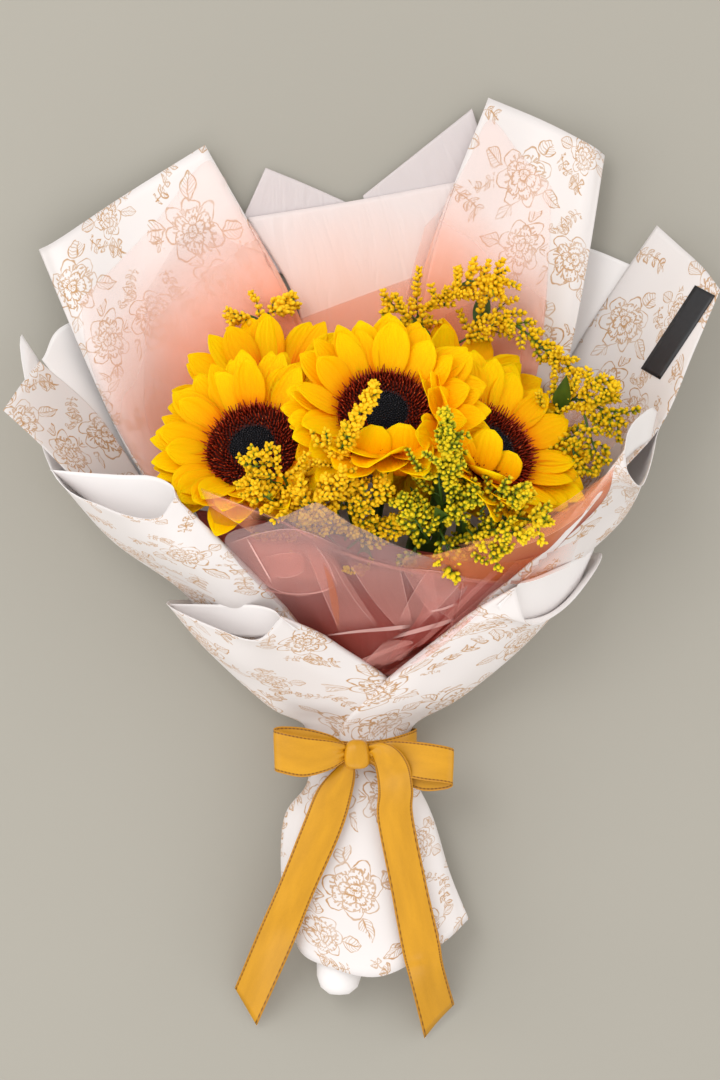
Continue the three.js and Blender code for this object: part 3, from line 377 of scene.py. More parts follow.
# Rows across the bow's tails, from the knot to the cut ends.
TAIL_LEFT = [
    [(-8, -7, 57), (-4, -8, 58.5), (0, -7, 57)],
    [(-12, -10, 57), (-7, -11, 59), (-1, -10, 57)],
    [(-26, -26, 54), (-15, -28, 57), (-2, -25, 54.5)],
    [(-36, -49, 53.5), (-24, -52, 55.5), (-10, -54, 54)],
    [(-51, -87, 51), (-40, -92, 53), (-29, -97, 52)],
    [(-66, -122, 44), (-55, -127, 46.5), (-43, -132, 46)],
    [(-83, -164, 12), (-76, -176, 10), (-68, -190, 6)],
]
TAIL_RIGHT = [
    [(7, -4, 60), (7.5, 0, 61), (8, 4, 61)],
    [(9, -4, 61.5), (12, 1.5, 65), (16, 5.5, 65.5)],
    [(11, -8, 62.5), (17, -2, 67), (25, 2.5, 67.5)],
    [(12.5, -13, 62.5), (21.5, -8, 67.5), (31.5, -4, 68.5)],
    [(13.5, -20, 60.5), (24.5, -17, 66), (35.5, -13, 68)],
    [(14, -30, 57.5), (26, -29, 60.5), (37.5, -27, 60)],
    [(13.5, -47, 54.5), (25, -47, 56), (37.5, -44, 54.5)],
    [(22, -91, 52), (34, -90, 54), (46, -87, 52)],
    [(30, -134, 51), (42, -130, 52.5), (55, -127, 51)],
    [(35, -154, 47), (47, -149, 50), (58, -145, 46)],
    [(46, -199, 5), (56, -186, 8), (66, -175, 10)],
]

# Bearings of the layouts' points round the neck, in degrees.
RIGHT_ANGLES = (-96, -65, -30, 5, 40, 72, 100)
LEFT_ANGLES = (78, 108, 140, 175, 210, 245, 276)
SKIRT_ANGLES = (278, 318, 360, 405, 450, 495, 540, 585, 622)

# A bow loop's turns: how far out, how high above the knot's middle, and how far up the page
# its upper and its lower edge lie.
LEFT_LOOP = [
    (8, 2, 7, -4), (18, 6.5, 10, -10), (35, 9.5, 12.5, -14.5), (50, 8.5, 15.5, -12),
    (54.5, 3.5, 17, -10), (50, -0.5, 18.5, -8), (35, -1.5, 17.5, -7), (18, -1.6, 13, -6), (8, -1.6, 7, -4),
]
RIGHT_LOOP = [
    (8, 1, 7, -4), (24, 2.5, 9.5, -12), (42, 6.5, 8.5, -16.5), (58, 7.5, 6, -18.5),
    (63.5, 3.5, 3.5, -20.5), (58, -0.5, 2.5, -23.5), (42, -1.5, 4, -24), (24, -1.6, 5, -15), (8, -1.6, 4, -6),
]

# Each head: its middle, the way it faces, its stem's bearing in the tie, the petals in each
# layer, the bearings at which they bend up (+) or down (-) with the spread and the degrees,
# and petals that fold over its disc, each from one point to another with its width.
HEADS = {
    "middle": {
        "at": (18, 222, 118), "faces": (0.02, 0.5, 0.86), "place": 90, "petals": (20, 20, 15),
        "bends": ((-90, 50, 34), (175, 40, 10)),
        "folded": (
            ((7, 182, 128), (12, 209, 146), 25), ((25, 181, 128), (30, 210, 145), 26),
            ((-5, 184, 126), (-7, 199, 142), 15), ((4, 180, 124), (3, 193, 140), 14),
            ((17, 190, 132), (17, 174, 130), 13), ((40, 186, 126), (46, 203, 140), 18),
        ),
    },
    "left": {
        "at": (-68, 200, 102), "faces": (-0.2, 0.46, 0.86), "place": 162, "petals": (20, 20, 15),
        "bends": ((-90, 60, 20), (20, 50, -14)),
    },
    "right": {
        "at": (88, 200, 104), "faces": (0.5, 0.52, 0.69), "place": 18, "petals": (20, 20, 15),
        "bends": ((-140, 60, 34), (150, 40, 12)),
        "folded": (
            ((79, 182, 124), (85, 208, 132), 23), ((92, 176, 118), (100, 194, 126), 20),
            ((70, 186, 122), (68, 202, 136), 17),
        ),
    },
    "back_left": {
        "at": (-56, 226, 54), "faces": (-0.1, 0.3, 0.95), "place": 234, "petals": (16, 14),
        "bends": ((-90, 80, -12),),
    },
    "back_right": {
        "at": (60, 218, 52), "faces": (0.1, 0.3, 0.95), "place": 306, "petals": (16, 14),
        "bends": ((-90, 80, -12),),
    },
}
# The layers of petals from the lowest: how far they rise and bend, in degrees, their length's
# share, how far they are turned against the layer below, and how much of a bend they take.
PETAL_LAYERS = (
    {"rise": 4, "bend": 12, "scale": 1.0, "offset": 0.0, "fold": 0.6},
    {"rise": 15, "bend": 12, "scale": 0.98, "offset": 0.5, "fold": 0.95},
    {"rise": 27, "bend": 8, "scale": 0.84, "offset": 0.25, "fold": 0.9},
)

# Each spray: its stem's points, the share of the stem where the plume starts, its side
# twigs, how far the longest reach, how green it is, its leaves (the share of the stem, the
# turn round it and the length), its side branches, and its slender sprigs.
SPRAYS = {
    "front_left": {
        "stem": [(-25, -90, 31), (-19, 0, 31), (-25, 60, 43), (-36, 112, 73), (-44, 150, 106),
                 (-46, 178, 142), (-66, 198, 160)],
        "plume": 0.6, "twigs": 14, "reach": 36, "green": 0.1,
        "leaves": ((0.66, 60, 40), (0.58, -70, 38), (0.7, -40, 36), (0.76, 20, 34), (0.62, 0, 40)),
        "branches": (
            [(-37, 152, 126), (-55, 165, 148), (-72, 177, 152)],
            [(-30, 146, 122), (-24, 165, 148), (-8, 184, 158)],
            [(-37, 148, 114), (-45, 140, 102), (-55, 134, 90)],
            [(-28, 140, 114), (-27, 156, 140), (-38, 172, 156)],
        ),
    },
    "front_middle": {
        "stem": [(5, -90, 39), (13, 0, 38.4), (12, 60, 46), (6, 112, 78), (-6, 160, 116),
                 (-20, 208, 158)],
        "plume": 0.6, "twigs": 14, "reach": 36, "green": 0.15,
        "leaves": ((0.64, 100, 38), (0.66, -60, 40), (0.7, 30, 36), (0.6, -100, 42), (0.58, 20, 44)),
        "sprigs": ([(-17, 184, 140), (-4, 210, 158), (12, 238, 162)],),
        "branches": (
            [(-8, 139, 112), (2, 159, 138), (18, 178, 148)],
            [(-6, 134, 110), (10, 146, 128), (26, 150, 130)],
            [(-14, 138, 104), (-18, 128, 92), (-22, 116, 80)],
            [(-10, 150, 124), (-14, 168, 142), (-2, 178, 148)],
        ),
    },
    "front_right": {
        "stem": [(14, -90, 33), (21, 0, 33), (30, 60, 42), (44, 112, 74), (56, 152, 112),
                 (53, 186, 150), (62, 206, 162)],
        "plume": 0.6, "twigs": 15, "reach": 40, "green": 0.75,
        "leaves": ((0.6, -60, 44), (0.66, 80, 38), (0.62, 0, 42), (0.7, -90, 34), (0.56, 50, 44)),
        "sprigs": ([(62, 162, 136), (61, 190, 158), (56, 222, 165)],),
        "branches": (
            [(47, 139, 112), (38, 152, 134), (28, 165, 144)],
            [(54, 146, 116), (59, 133, 122), (62, 116, 119)],
            [(52, 150, 120), (66, 160, 138), (78, 170, 148)],
            [(46, 138, 108), (38, 134, 112), (34, 124, 110)],
        ),
    },
    "front_droop": {
        "stem": [(18, -90, 26), (26, 0, 26), (42, 60, 38), (66, 108, 68), (94, 152, 122),
                 (124, 150, 156)],
        "plume": 0.62, "twigs": 14, "reach": 27, "green": 0.6,
        "leaves": ((0.62, -80, 40), (0.7, 30, 32), (0.66, -20, 38), (0.76, -60, 30)),
        "branches": (
            [(80, 158, 132), (92, 172, 150), (106, 166, 156)],
            [(72, 146, 120), (80, 138, 134), (92, 130, 138)],
            [(80, 144, 120), (92, 146, 142), (108, 140, 150)],
        ),
    },
    "back_plume": {
        "stem": [(-9, -90, 12.6), (-1, 0, 12.6), (-2, 40, 15), (20, 180, 19.4), (38, 286, 34),
                 (100, 320, 44)],
        "plume": 0.68, "twigs": 22, "reach": 38, "green": 0.1,
        "leaves": ((0.74, 80, 34), (0.66, -60, 40)),
        "branches": (
            [(49, 277, 38), (35, 290, 44), (20, 299, 46)],
            [(66, 270, 38), (82, 279, 44), (100, 284, 46)],
            [(58, 296, 42), (74, 312, 48), (96, 306, 48)],
        ),
    },
    "back_left": {
        "stem": [(-28, -90, 22), (-21, 0, 22), (-34, 80, 22), (-52, 190, 20), (-66, 284, 26),
                 (-42, 302, 30)],
        "plume": 0.86, "twigs": 8, "reach": 13, "green": 0.1,
        "leaves": (),
        "branches": ([(-60, 284, 27), (-72, 290, 32), (-84, 288, 32)],),
    },
    "arch": {
        "stem": [(8, -90, 19), (16, 0, 17), (34, 90, 19.4), (66, 200, 19.6), (88, 288, 40),
                 (138, 258, 62)],
        "plume": 0.72, "twigs": 16, "reach": 22, "green": 0.25,
        "leaves": ((0.76, -70, 34),),
        "branches": ([(120, 268, 56), (134, 262, 64), (146, 244, 66)],),
    },
    "right_cluster": {
        "stem": [(16, -90, 21), (23, 0, 20.6), (58, 80, 30), (104, 170, 44), (142, 232, 74),
                 (176, 216, 84)],
        "plume": 0.7, "twigs": 17, "reach": 32, "green": 0.3,
        "leaves": ((0.68, -60, 40), (0.76, 60, 32)),
        "branches": (
            [(150, 222, 78), (154, 206, 86), (160, 190, 88)],
            [(146, 214, 74), (142, 200, 84), (146, 184, 86)],
            [(142, 232, 74), (154, 240, 80), (168, 238, 84)],
        ),
    },
}


# ---------------------------------------------------------------- settings

def colour(name, description, default):
    """A colour setting."""
    return FloatVectorProperty(
        name=name, description=description, subtype="COLOR", default=default, min=0, max=1)


def metres(name, description, default):
    """A length setting, in metres."""
    return FloatProperty(name=name, description=description, unit="LENGTH", default=default)


class PaperSettings(bpy.types.PropertyGroup):
    """Sizes and colours of the papers."""

    thickness: metres("Thickness", "Thickness of the wrapping paper", 0.0004)
    edge_roll: metres("Edge roll", "Radius of the soft roll along a wrap's front edge", 0.0035)
    motif: metres("Motif spacing", "Distance between the printed flowers", 0.052)
    face: colour("Paper", "Colour of the printed side", (0.755, 0.705, 0.69))
    reverse: colour("Reverse", "Colour of the plain side", (0.84, 0.8, 0.79))
    ink: colour("Ink", "Colour of the printed lines", (0.47, 0.24, 0.075))
    label: colour("Label", "Colour of the plain label", (0.009, 0.009, 0.011))


class FilmSettings(bpy.types.PropertyGroup):
    """Thickness and colours of the films and tissues."""

    thickness: metres("Thickness", "Thickness of the films and tissues", 0.00015)
    peach: colour("Peach film", "Colour of the films behind the flowers", (1.0, 0.37, 0.18))
    rose: colour("Rose film", "Colour of the films before the flowers", (0.62, 0.11, 0.08))
    tissue: colour("Tissue", "Colour of the tissues at the back", (0.78, 0.68, 0.68))


class FlowerSettings(bpy.types.PropertyGroup):
    """Sizes and colours of the sunflowers."""

    petal_length: metres("Petal length", "Length of a petal of the outer layer", 0.042)
    petal_width: metres("Petal width", "Width of a petal where it is widest", 0.0212)
    petal_thickness: metres("Petal thickness", "Thickness of a petal", 0.0005)
    bract_thickness: metres("Bract thickness", "Thickness of a bract behind a head", 0.0004)
    petal: colour("Petal", "Colour of the petals", (1.0, 0.52, 0.0))
    # The petals' own orange at the disc, and partly painted shade there.
    petal_foot_and_shade: colour("Petal foot", "Colour of the petals at the disc", (0.9, 0.23, 0.0))
    floret: colour("Disc floret", "Colour of the ring of disc florets", (0.12, 0.009, 0.002))
    heart: colour("Disc heart", "Colour of the woolly middle", (0.018, 0.018, 0.022))
    stem: colour("Stem", "Colour of stems and leaves", (0.042, 0.095, 0.008))


class GoldenrodSettings(bpy.types.PropertyGroup):
    """Sizes and colours of the goldenrod."""

    floret_radius: metres("Floret radius", "Radius of a goldenrod floret", 0.00145)
    spacing: metres("Floret spacing", "Distance between florets along a twig", 0.0035)
    seed: IntProperty(name="Seed", description="Seed of the twigs' random draw", default=31)
    floret: colour("Floret", "Colour of the open florets", (0.84, 0.45, 0.001))
    bud: colour("Bud", "Colour of the greener florets", (0.34, 0.36, 0.012))


class RibbonSettings(bpy.types.PropertyGroup):
    """Thickness and colours of the satin ribbon."""

    thickness: metres("Thickness", "Thickness of the ribbon", 0.0004)
    satin: colour("Satin", "Colour of the ribbon", (0.585, 0.278, 0.011))
    edge: colour("Edge", "Colour of the wired edge", (0.55, 0.24, 0.008))
    stitch: colour("Stitch", "Colour of the stitches along the edge", (0.17, 0.055, 0.003))


class StageSettings(bpy.types.PropertyGroup):
    """Camera, floor and light."""

    distance: metres("Camera height", "Height of the camera above the table", 2.6)
    view_width: metres("View width", "Width of the table that the camera sees", 0.4896)
    floor: colour("Floor", "Colour of the table", (0.378, 0.357, 0.311))


# ---------------------------------------------------------------- curves and patches

def vectors(points):
    """The points of one row or path as vectors."""
    return [Vector(point) for point in points]


def curve_point(points, share, knots=None):
    """The point at a share of the smooth curve through some points.

    With knots, a power of the spans' lengths, the curve swings out less.
    """
    last = len(points) - 1
    position = min(max(share, 0.0), 1.0) * last
    start = min(int(position), last - 1)
    weight = position - start
    here, there = points[start], points[start + 1]
    before = points[start - 1] if start > 0 else here * 2 - there
    after = points[start + 2] if start + 2 <= last else there * 2 - here
    if knots:
        first, second, third = (
            max((b - a).length ** knots, 0.01)
            for a, b in ((before, here), (here, there), (there, after)))
        leave = ((here - before) / first - (there - before) / (first + second)
                 + (there - here) / second) * second
        reach = ((there - here) / second - (after - here) / (second + third)
                 + (after - there) / third) * second
    else:
        leave, reach = (there - before) / 2, (after - here) / 2
    square, cube = weight ** 2, weight ** 3
    return (here * (2 * cube - 3 * square + 1) + leave * (cube - 2 * square + weight)
            + there * (3 * square - 2 * cube) + reach * (cube - square))


def path_point(points, share):
    """The point at a share of a stem, whose curve keeps close to its points."""
    return curve_point(points, share, knots=0.5)


def path_tangent(points, share):
    """The way a stem runs at a share of its length."""
    return (path_point(points, min(share + 0.004, 1)) - path_point(points, max(share - 0.004, 0))
            ).normalized()


def new_mesh():
    """An empty bmesh with a UV map."""
    shape = bmesh.new()
    shape.loops.layers.uv.new("UVMap")
    return shape


def add_patch(shape, across, along, place, spread, finish=0):
    """Adds a grid whose points place(i, j) gives, with spread(i, j) as its UV."""
    verts = bmesh.ops.create_grid(shape, x_segments=across, y_segments=along, size=0.5)["verts"]
    steps = {
        vert: (round((vert.co.x + 0.5) * across), round((vert.co.y + 0.5) * along))
        for vert in verts
    }
    uv = shape.loops.layers.uv.active
    for face in {face for vert in verts for face in vert.link_faces}:
        face.material_index = finish
        face.smooth = True
        for loop in face.loops:
            loop[uv].uv = spread(*steps[loop.vert])
    for vert, (i, j) in steps.items():
        vert.co = place(i, j)
    return verts


def path_length(points):
    """The length of the straight lines between a path's points."""
    return sum((b - a).length for a, b in zip(points, points[1:]))


def axes(x_axis, y_axis, z_axis, at):
    """A matrix that turns and moves a shape to these axes."""
    matrix = Matrix((x_axis, y_axis, z_axis)).transposed().to_4x4()
    matrix.translation = at
    return matrix


def smooth(shape):
    """Shades a whole shape smoothly."""
    for face in shape.faces:
        face.smooth = True


def add_spun(shape, profile, axis, steps, closed=True):
    """Adds a body spun from a profile of points, each a radius and a place on the axis."""
    out = Vector((1, 0, 0))
    verts = [shape.verts.new(out * radius + axis * level) for radius, level in profile]
    pairs = zip(verts, verts[1:] + verts[:1] if closed else verts[1:])
    edges = [shape.edges.new(pair) for pair in pairs]
    bmesh.ops.spin(shape, geom=verts + edges, axis=axis, cent=(0, 0, 0), angle=2 * math.pi,
                   steps=steps, use_merge=True)


def add_tube(shape, points, radius, sides, steps, finish=0, taper=0.0):
    """Adds a round stem along a path, thinner towards its end by the share of its taper."""
    rings = []
    side = Vector((1, 0, 0))
    for j in range(steps + 1):
        share = j / steps
        way = path_tangent(points, share)
        side = (side - way * side.dot(way)).normalized()
        rings.append((path_point(points, share), side.copy(), way.cross(side),
                      radius * (1 - taper * share)))

    def place(i, j):
        middle, right, up, reach = rings[j]
        angle = 2 * math.pi * i / sides
        return middle + (right * math.cos(angle) + up * math.sin(angle)) * reach

    length = path_length([ring[0] for ring in rings])
    verts = add_patch(shape, sides, steps, place,
                      lambda i, j: (i / sides * TURN * radius * MM, j / steps * length * MM), finish)
    bmesh.ops.remove_doubles(shape, verts=verts, dist=TOUCHING)


def gather(shape, part):
    """Moves a small part into a larger shape."""
    mesh = bpy.data.meshes.new("part")
    part.to_mesh(mesh)
    part.free()
    shape.from_mesh(mesh)
    bpy.data.meshes.remove(mesh)


def thicken(piece, thickness, offset=-1, other_side=0):
    """Gives thin faces their thickness; other_side counts on to the far side's finish."""
    wall = piece.modifiers.new("thickness", "SOLIDIFY")
    wall.thickness = thickness
    wall.offset = offset
    wall.material_offset = other_side


def finish_piece(shape, name, finishes, node, slot, thickness=0.0, other_side=0):
    """Turns a shape into a piece that stands for a CAD node. A sheet gets its thickness."""
    if not shape.faces:
        raise RuntimeError(f"{name} came out empty")
    bmesh.ops.transform(shape, matrix=TO_FRAME, verts=shape.verts)
    mesh = bpy.data.meshes.new(name)
    shape.to_mesh(mesh)
    shape.free()
    piece = bpy.data.objects.new(name, mesh)
    bpy.context.scene.collection.objects.link(piece)
    for finish in finishes:
        mesh.materials.append(finish)
    if thickness:
        thicken(piece, thickness, 1, other_side)
    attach(piece, "root")
    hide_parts(node)
    return piece


# ---------------------------------------------------------------- sheets

class Sheet:
    """A sheet through a layout's points, as a grid of points with its flat measures.

    It is lifted towards the flowers, with a ripple on it, and may lie over another surface.
    """

    def __init__(self, layout, across, along, lift=0.2, ripple=None, over=None):
        rows = [vectors(row) for row in layout]
        self.across, self.along = across, along

        def laid(column, j):
            point = curve_point(column, j / along)
            point.z = max(0.0, point.z)
            if over:
                point.z = level_at(over, point.x, point.y, point.z)
            return point

        def raised(i, j):
            wave = ripple(i / across, j / along) if ripple else 0.0
            return self.points[i][j] + self.normal(i, j) * (lift + wave)

        columns = [[curve_point(row, i / across) for row in rows] for i in range(across + 1)]
        self.points = [[laid(column, j) for j in range(along + 1)] for column in columns]
        self.points = [[raised(i, j) for j in range(along + 1)] for i in range(across + 1)]
        self.measure()

    def normal(self, i, j):
        """The way the sheet faces at a point, towards the flowers."""
        grid = self.points
        right = grid[min(i + 1, self.across)][j] - grid[max(i - 1, 0)][j]
        up = grid[i][min(j + 1, self.along)] - grid[i][max(j - 1, 0)]
        return right.cross(up).normalized()

    def measure(self):
        """Works out how far each point lies along the flat sheet."""
        grid, middle = self.points, self.across // 2
        self.up = [0.0]
        for j in range(self.along):
            self.up.append(self.up[-1] + (grid[middle][j + 1] - grid[middle][j]).length)
        self.out = []
        for j in range(self.along + 1):
            total = [0.0]
            for i in range(self.across):
                total.append(total[-1] + (grid[i + 1][j] - grid[i][j]).length)
            self.out.append([x - total[middle] for x in total])
        self.area = sum(
            (grid[i + 1][j + 1] - grid[i][j]).cross(grid[i][j + 1] - grid[i + 1][j]).length / 2
            for i in range(self.across) for j in range(self.along))

    def flat(self, i, j):
        """The flat place of a point, in metres, as a UV."""
        return (self.out[j][i] * MM, self.up[j] * MM)

    def add_to(self, shape, finish=0, spread=None):
        """Adds the sheet to a shape, with its flat places as its UV, or others."""
        add_patch(shape, self.across, self.along, lambda i, j: self.points[i][j],
                  spread or self.flat, finish)

    def add_roll(self, shape, edge, radius):
        """Rolls the sheet over along one of its edges, towards the flowers, less at its top."""
        steps, turn = 7, math.radians(200)
        column, inner, side = (self.across, self.across - 1, 1) if edge == "right" else (0, 1, -1)
        rings = []
        for j in range(self.along + 1):
            foot = self.points[column][j]
            normal = self.normal(column, j)
            out = (foot - self.points[inner][j]).normalized()
            reach = radius * min(1.0, 0.2 + (self.along - j) / (0.25 * self.along))
            rings.append((foot + normal * reach, normal, out, reach))

        def place(i, j):
            middle, normal, out, reach = rings[j]
            step = i if side > 0 else steps - i
            angle = turn * step / steps
            return middle + (out * math.sin(angle) - normal * math.cos(angle)) * reach

        def spread(i, j):
            step = i if side > 0 else steps - i
            start = self.out[j][column]
            return ((start + side * turn * radius * step / steps) * MM, self.up[j] * MM)

        add_patch(shape, steps, self.along, place, spread)
        bmesh.ops.remove_doubles(shape, verts=shape.verts, dist=TOUCHING)

    def size(self):
        """The flat size of the sheet, its width and length in metres."""
        width = max(row[-1] - row[0] for row in self.out)
        return (width * MM, self.up[-1] * MM)


def declare(piece, sheets, held):
    """Works out the flat width, length and area of one sheet large enough for all of a piece's layouts;
    nothing is done with them.
    """
    width = max(sheet.size()[0] for sheet in sheets)
    length = max(sheet.size()[1] for sheet in sheets)
    area = sum(sheet.area for sheet in sheets) * MM * MM
    length = max(length, area / width)


def neck_row(oval, angles, y):
    """Points on the oval of the gathered neck."""
    half_width, half_height = oval
    return [
        (half_width * math.cos(angle), y, NECK_HEIGHT + half_height * math.sin(angle))
        for angle in map(math.radians, angles)
    ]


def gathered(neck, angles, wrap):
    """A lower wrap's layout, gathered to the neck inside the ribbon."""
    return [neck_row(neck, angles, -8), neck_row(neck, angles, 14)] + wrap


def skirt_row(middle, half_width, half_height, y, lift, lean, pleat):
    """A ring of points round the stems, for the lower paper."""
    row = []
    for degrees in SKIRT_ANGLES:
        angle = math.radians(degrees)
        wave = 1 + pleat * math.cos(5 * angle)
        row.append((
            middle + half_width * wave * math.cos(angle),
            y + lift * math.cos(angle) ** 2 + lean * math.cos(angle),
            NECK_HEIGHT - 1 + half_height * wave * math.sin(angle),
        ))
    return row


# The skirt's rings from its open end up: middle, half width, half height, Y, lift at the
# sides, lean to the right and depth of the pleats. The last two rows are in the neck.
SKIRT = [skirt_row(*ring) for ring in (
    (14, 58, 22.5, -152, 29, 7, 0.04), (4, 56, 21.5, -98, 10, 3, 0.04),
    (0, 50, 20.5, -52, 4, 0, 0.03), (3, 38, 19, -27, 0, 0, 0.01))]
SKIRT += [neck_row(SKIRT_NECK, SKIRT_ANGLES, y) for y in (-12, 8)]


# ---------------------------------------------------------------- materials

class Field:
    """A number that varies over a surface, worked out by math nodes."""

    def __init__(self, tree, socket):
        self.tree, self.socket = tree, socket

    def math(self, operation, *others, clamp=False):
        """The field of a math node that is fed with this field and others or numbers."""
        node = self.tree.nodes.new("ShaderNodeMath")
        node.operation = operation
        node.use_clamp = clamp
        for slot, value in zip(node.inputs, (self, *others)):
            if isinstance(value, Field):
                self.tree.links.new(value.socket, slot)
            else:
                slot.default_value = value
        return Field(self.tree, node.outputs[0])

    __add__ = partialmethod(math, "ADD")
    __sub__ = partialmethod(math, "SUBTRACT")
    __mul__ = partialmethod(math, "MULTIPLY")
    __truediv__ = partialmethod(math, "DIVIDE")
    __abs__ = partialmethod(math, "ABSOLUTE")
    sin = partialmethod(math, "SINE")
    clamped = partialmethod(math, "ADD", 0.0, clamp=True)
    below = partialmethod(math, "LESS_THAN")
    above = partialmethod(math, "GREATER_THAN")
    or_more = partialmethod(math, "MAXIMUM")
    fraction = partialmethod(math, "FRACT")

    def stroke(self, half_width):
        """1 within a line of this half width, fading softly at its sides."""
        sharpness = 2.2
        return (abs(self) * -sharpness + (half_width * sharpness + 0.5)).clamped()


class Finish:
    """A material with its principled shader, and the nodes that feed it."""

    def __init__(self, name, **values):
        self.material = bpy.data.materials.new(name)
        self.material.use_nodes = True
        self.tree = self.material.node_tree
        self.shader = self.tree.nodes["Principled BSDF"]
        for socket, value in values.items():
            self.shader.inputs[socket.replace("_", " ")].default_value = value

    def node(self, kind, **values):
        """A node of a kind, with values for its inputs or its settings."""
        node = self.tree.nodes.new("ShaderNode" + kind)
        for name, value in values.items():
            if name in node.inputs:
                node.inputs[name].default_value = value
            else:
                setattr(node, name, value)
        return node

    def link(self, output, target):
        """Joins an output to a node's input."""
        self.tree.links.new(output, target)

    def feed(self, output, socket):
        """Joins an output to one of the shader's sockets."""
        self.link(output, self.shader.inputs[socket])

    def place(self, kind, scale=(1, 1, 1)):
        """The UV or Object coordinates, scaled."""
        coordinates = self.node("TexCoord")
        mapping = self.node("Mapping")
        mapping.inputs["Scale"].default_value = scale
        self.link(coordinates.outputs[kind], mapping.inputs["Vector"])
        return mapping.outputs["Vector"]

    def fields(self, vector):
        """The X and Y of a vector as fields."""
        parts = self.node("SeparateXYZ")
        self.link(vector, parts.inputs[0])
        return Field(self.tree, parts.outputs["X"]), Field(self.tree, parts.outputs["Y"])

    def clouds(self, place, scale, detail=3.0, distortion=0.0):
        """Soft noise over a surface, on coordinates that are named or an output."""
        vector = self.place(place) if isinstance(place, str) else place
        texture = self.node("TexNoise", Scale=scale, Detail=detail, Distortion=distortion)
        self.link(vector, texture.inputs["Vector"])
        return Field(self.tree, texture.outputs["Fac"])

    def drift(self, vector, scale):
        """Two soft shifts between -0.5 and 0.5 that vary over a surface."""
        texture = self.node("TexNoise", Scale=scale, Detail=1.0)
        self.link(vector, texture.inputs["Vector"])
        parts = self.node("SeparateColor")
        self.link(texture.outputs["Color"], parts.inputs[0])
        return (Field(self.tree, parts.outputs[0]) - 0.5, Field(self.tree, parts.outputs[1]) - 0.5)

    def ramp(self, field, *stops):
        """A colour that runs through stops of (position, colour)."""
        node = self.node("ValToRGB")
        elements = node.color_ramp.elements
        while len(elements) < len(stops):
            elements.new(0.5)
        for element, (position, rgb) in zip(elements, stops):
            element.position = position
            element.color = (*rgb, 1) if len(rgb) == 3 else rgb
        self.link(field.socket, node.inputs[0])
        return node.outputs["Color"]

    def blend(self, share, first, second, mode="MIX"):
        """Mixes two colours, each a colour or an output."""
        node = self.tree.nodes.new("ShaderNodeMix")
        node.data_type = "RGBA"
        node.blend_type = mode
        for index, value in ((0, share), (6, first), (7, second)):
            socket = node.inputs[index]
            if isinstance(value, Field):
                self.link(value.socket, socket)
            elif isinstance(value, bpy.types.NodeSocket):
                self.link(value, socket)
            elif isinstance(value, (int, float)):
                socket.default_value = value
            else:
                socket.default_value = (*value[:3], 1)
        return node.outputs[2]

    def relief(self, field, distance, strength=0.5):
        """Gives the surface a bump from a field, its depth in metres."""
        bump = self.node("Bump", Distance=distance, Strength=strength)
        self.link(field.socket, bump.inputs["Height"])
        self.feed(bump.outputs["Normal"], "Normal")


def cell_frame(finish, x, y, spacing, scatter):
    """Splits the sheet into cells: local X and Y from a cell's middle, and two draws."""
    place = finish.node("CombineXYZ")
    finish.link((x / spacing).socket, place.inputs[0])
    finish.link((y / spacing).socket, place.inputs[1])
    cells = finish.node("TexVoronoi", voronoi_dimensions="2D", Scale=1.0, Randomness=scatter)
    finish.link(place.outputs[0], cells.inputs["Vector"])
    offset = finish.node("VectorMath", operation="SUBTRACT")
    finish.link(place.outputs[0], offset.inputs[0])
    finish.link(cells.outputs["Position"], offset.inputs[1])
    local_x, local_y = finish.fields(offset.outputs[0])
    draws = finish.node("SeparateColor")
    finish.link(cells.outputs["Color"], draws.inputs[0])
    return (local_x * spacing, local_y * spacing,
            Field(finish.tree, draws.outputs[0]), Field(finish.tree, draws.outputs[1]))


def polar(x, y):
    """Distance from the middle, and bearing."""
    return (x * x + y * y).math("SQRT"), y.math("ARCTAN2", x)


def bloom_lines(radius, angle, turn, weight):
    """The line drawing of an open bloom of scalloped petals, with hatching."""
    bearing = angle + turn * TURN
    ink = radius.stroke(0.9)
    inner = 1.2
    for reach, petals, shift in ((3.8, 3, 0.4), (7.6, 5, 1.1), (11.8, 6, 2.3), (16.4, 7, 0.2)):
        wave = abs((bearing * (petals / 2) + shift).sin())
        edge = (wave * 0.3 + 0.74) * reach
        inside = radius.below(edge) * radius.above(inner)
        outline = (radius - edge).stroke(weight * 0.5)
        divider = (wave * radius * (2 / petals)).stroke(weight * 0.36) * inside
        hatching = (bearing * (petals * 4)).sin().above(0.2) * inside
        hatching = hatching * radius.below(weight * (reach - inner) * 0.5 + inner)
        ink = ink.or_more(outline).or_more(divider * 0.95).or_more(hatching * 0.8)
        inner = reach * 0.84
    return ink


def leaf_lines(along, across, length, width, weight):
    """The outline, rib and veins of a leaf that lies along its first measure."""
    share = along / length
    within = share.above(0.0) * share.below(1.0)
    half = (share * math.pi).sin() * width
    side = abs(across)
    veins = ((along - side * 0.9) * (2 * math.pi / 1.9)).sin().above(0.6) * side.below(half) * 0.6
    outline = (side - half).stroke(weight * 0.42)
    return outline.or_more(across.stroke(weight * 0.36)).or_more(veins) * within


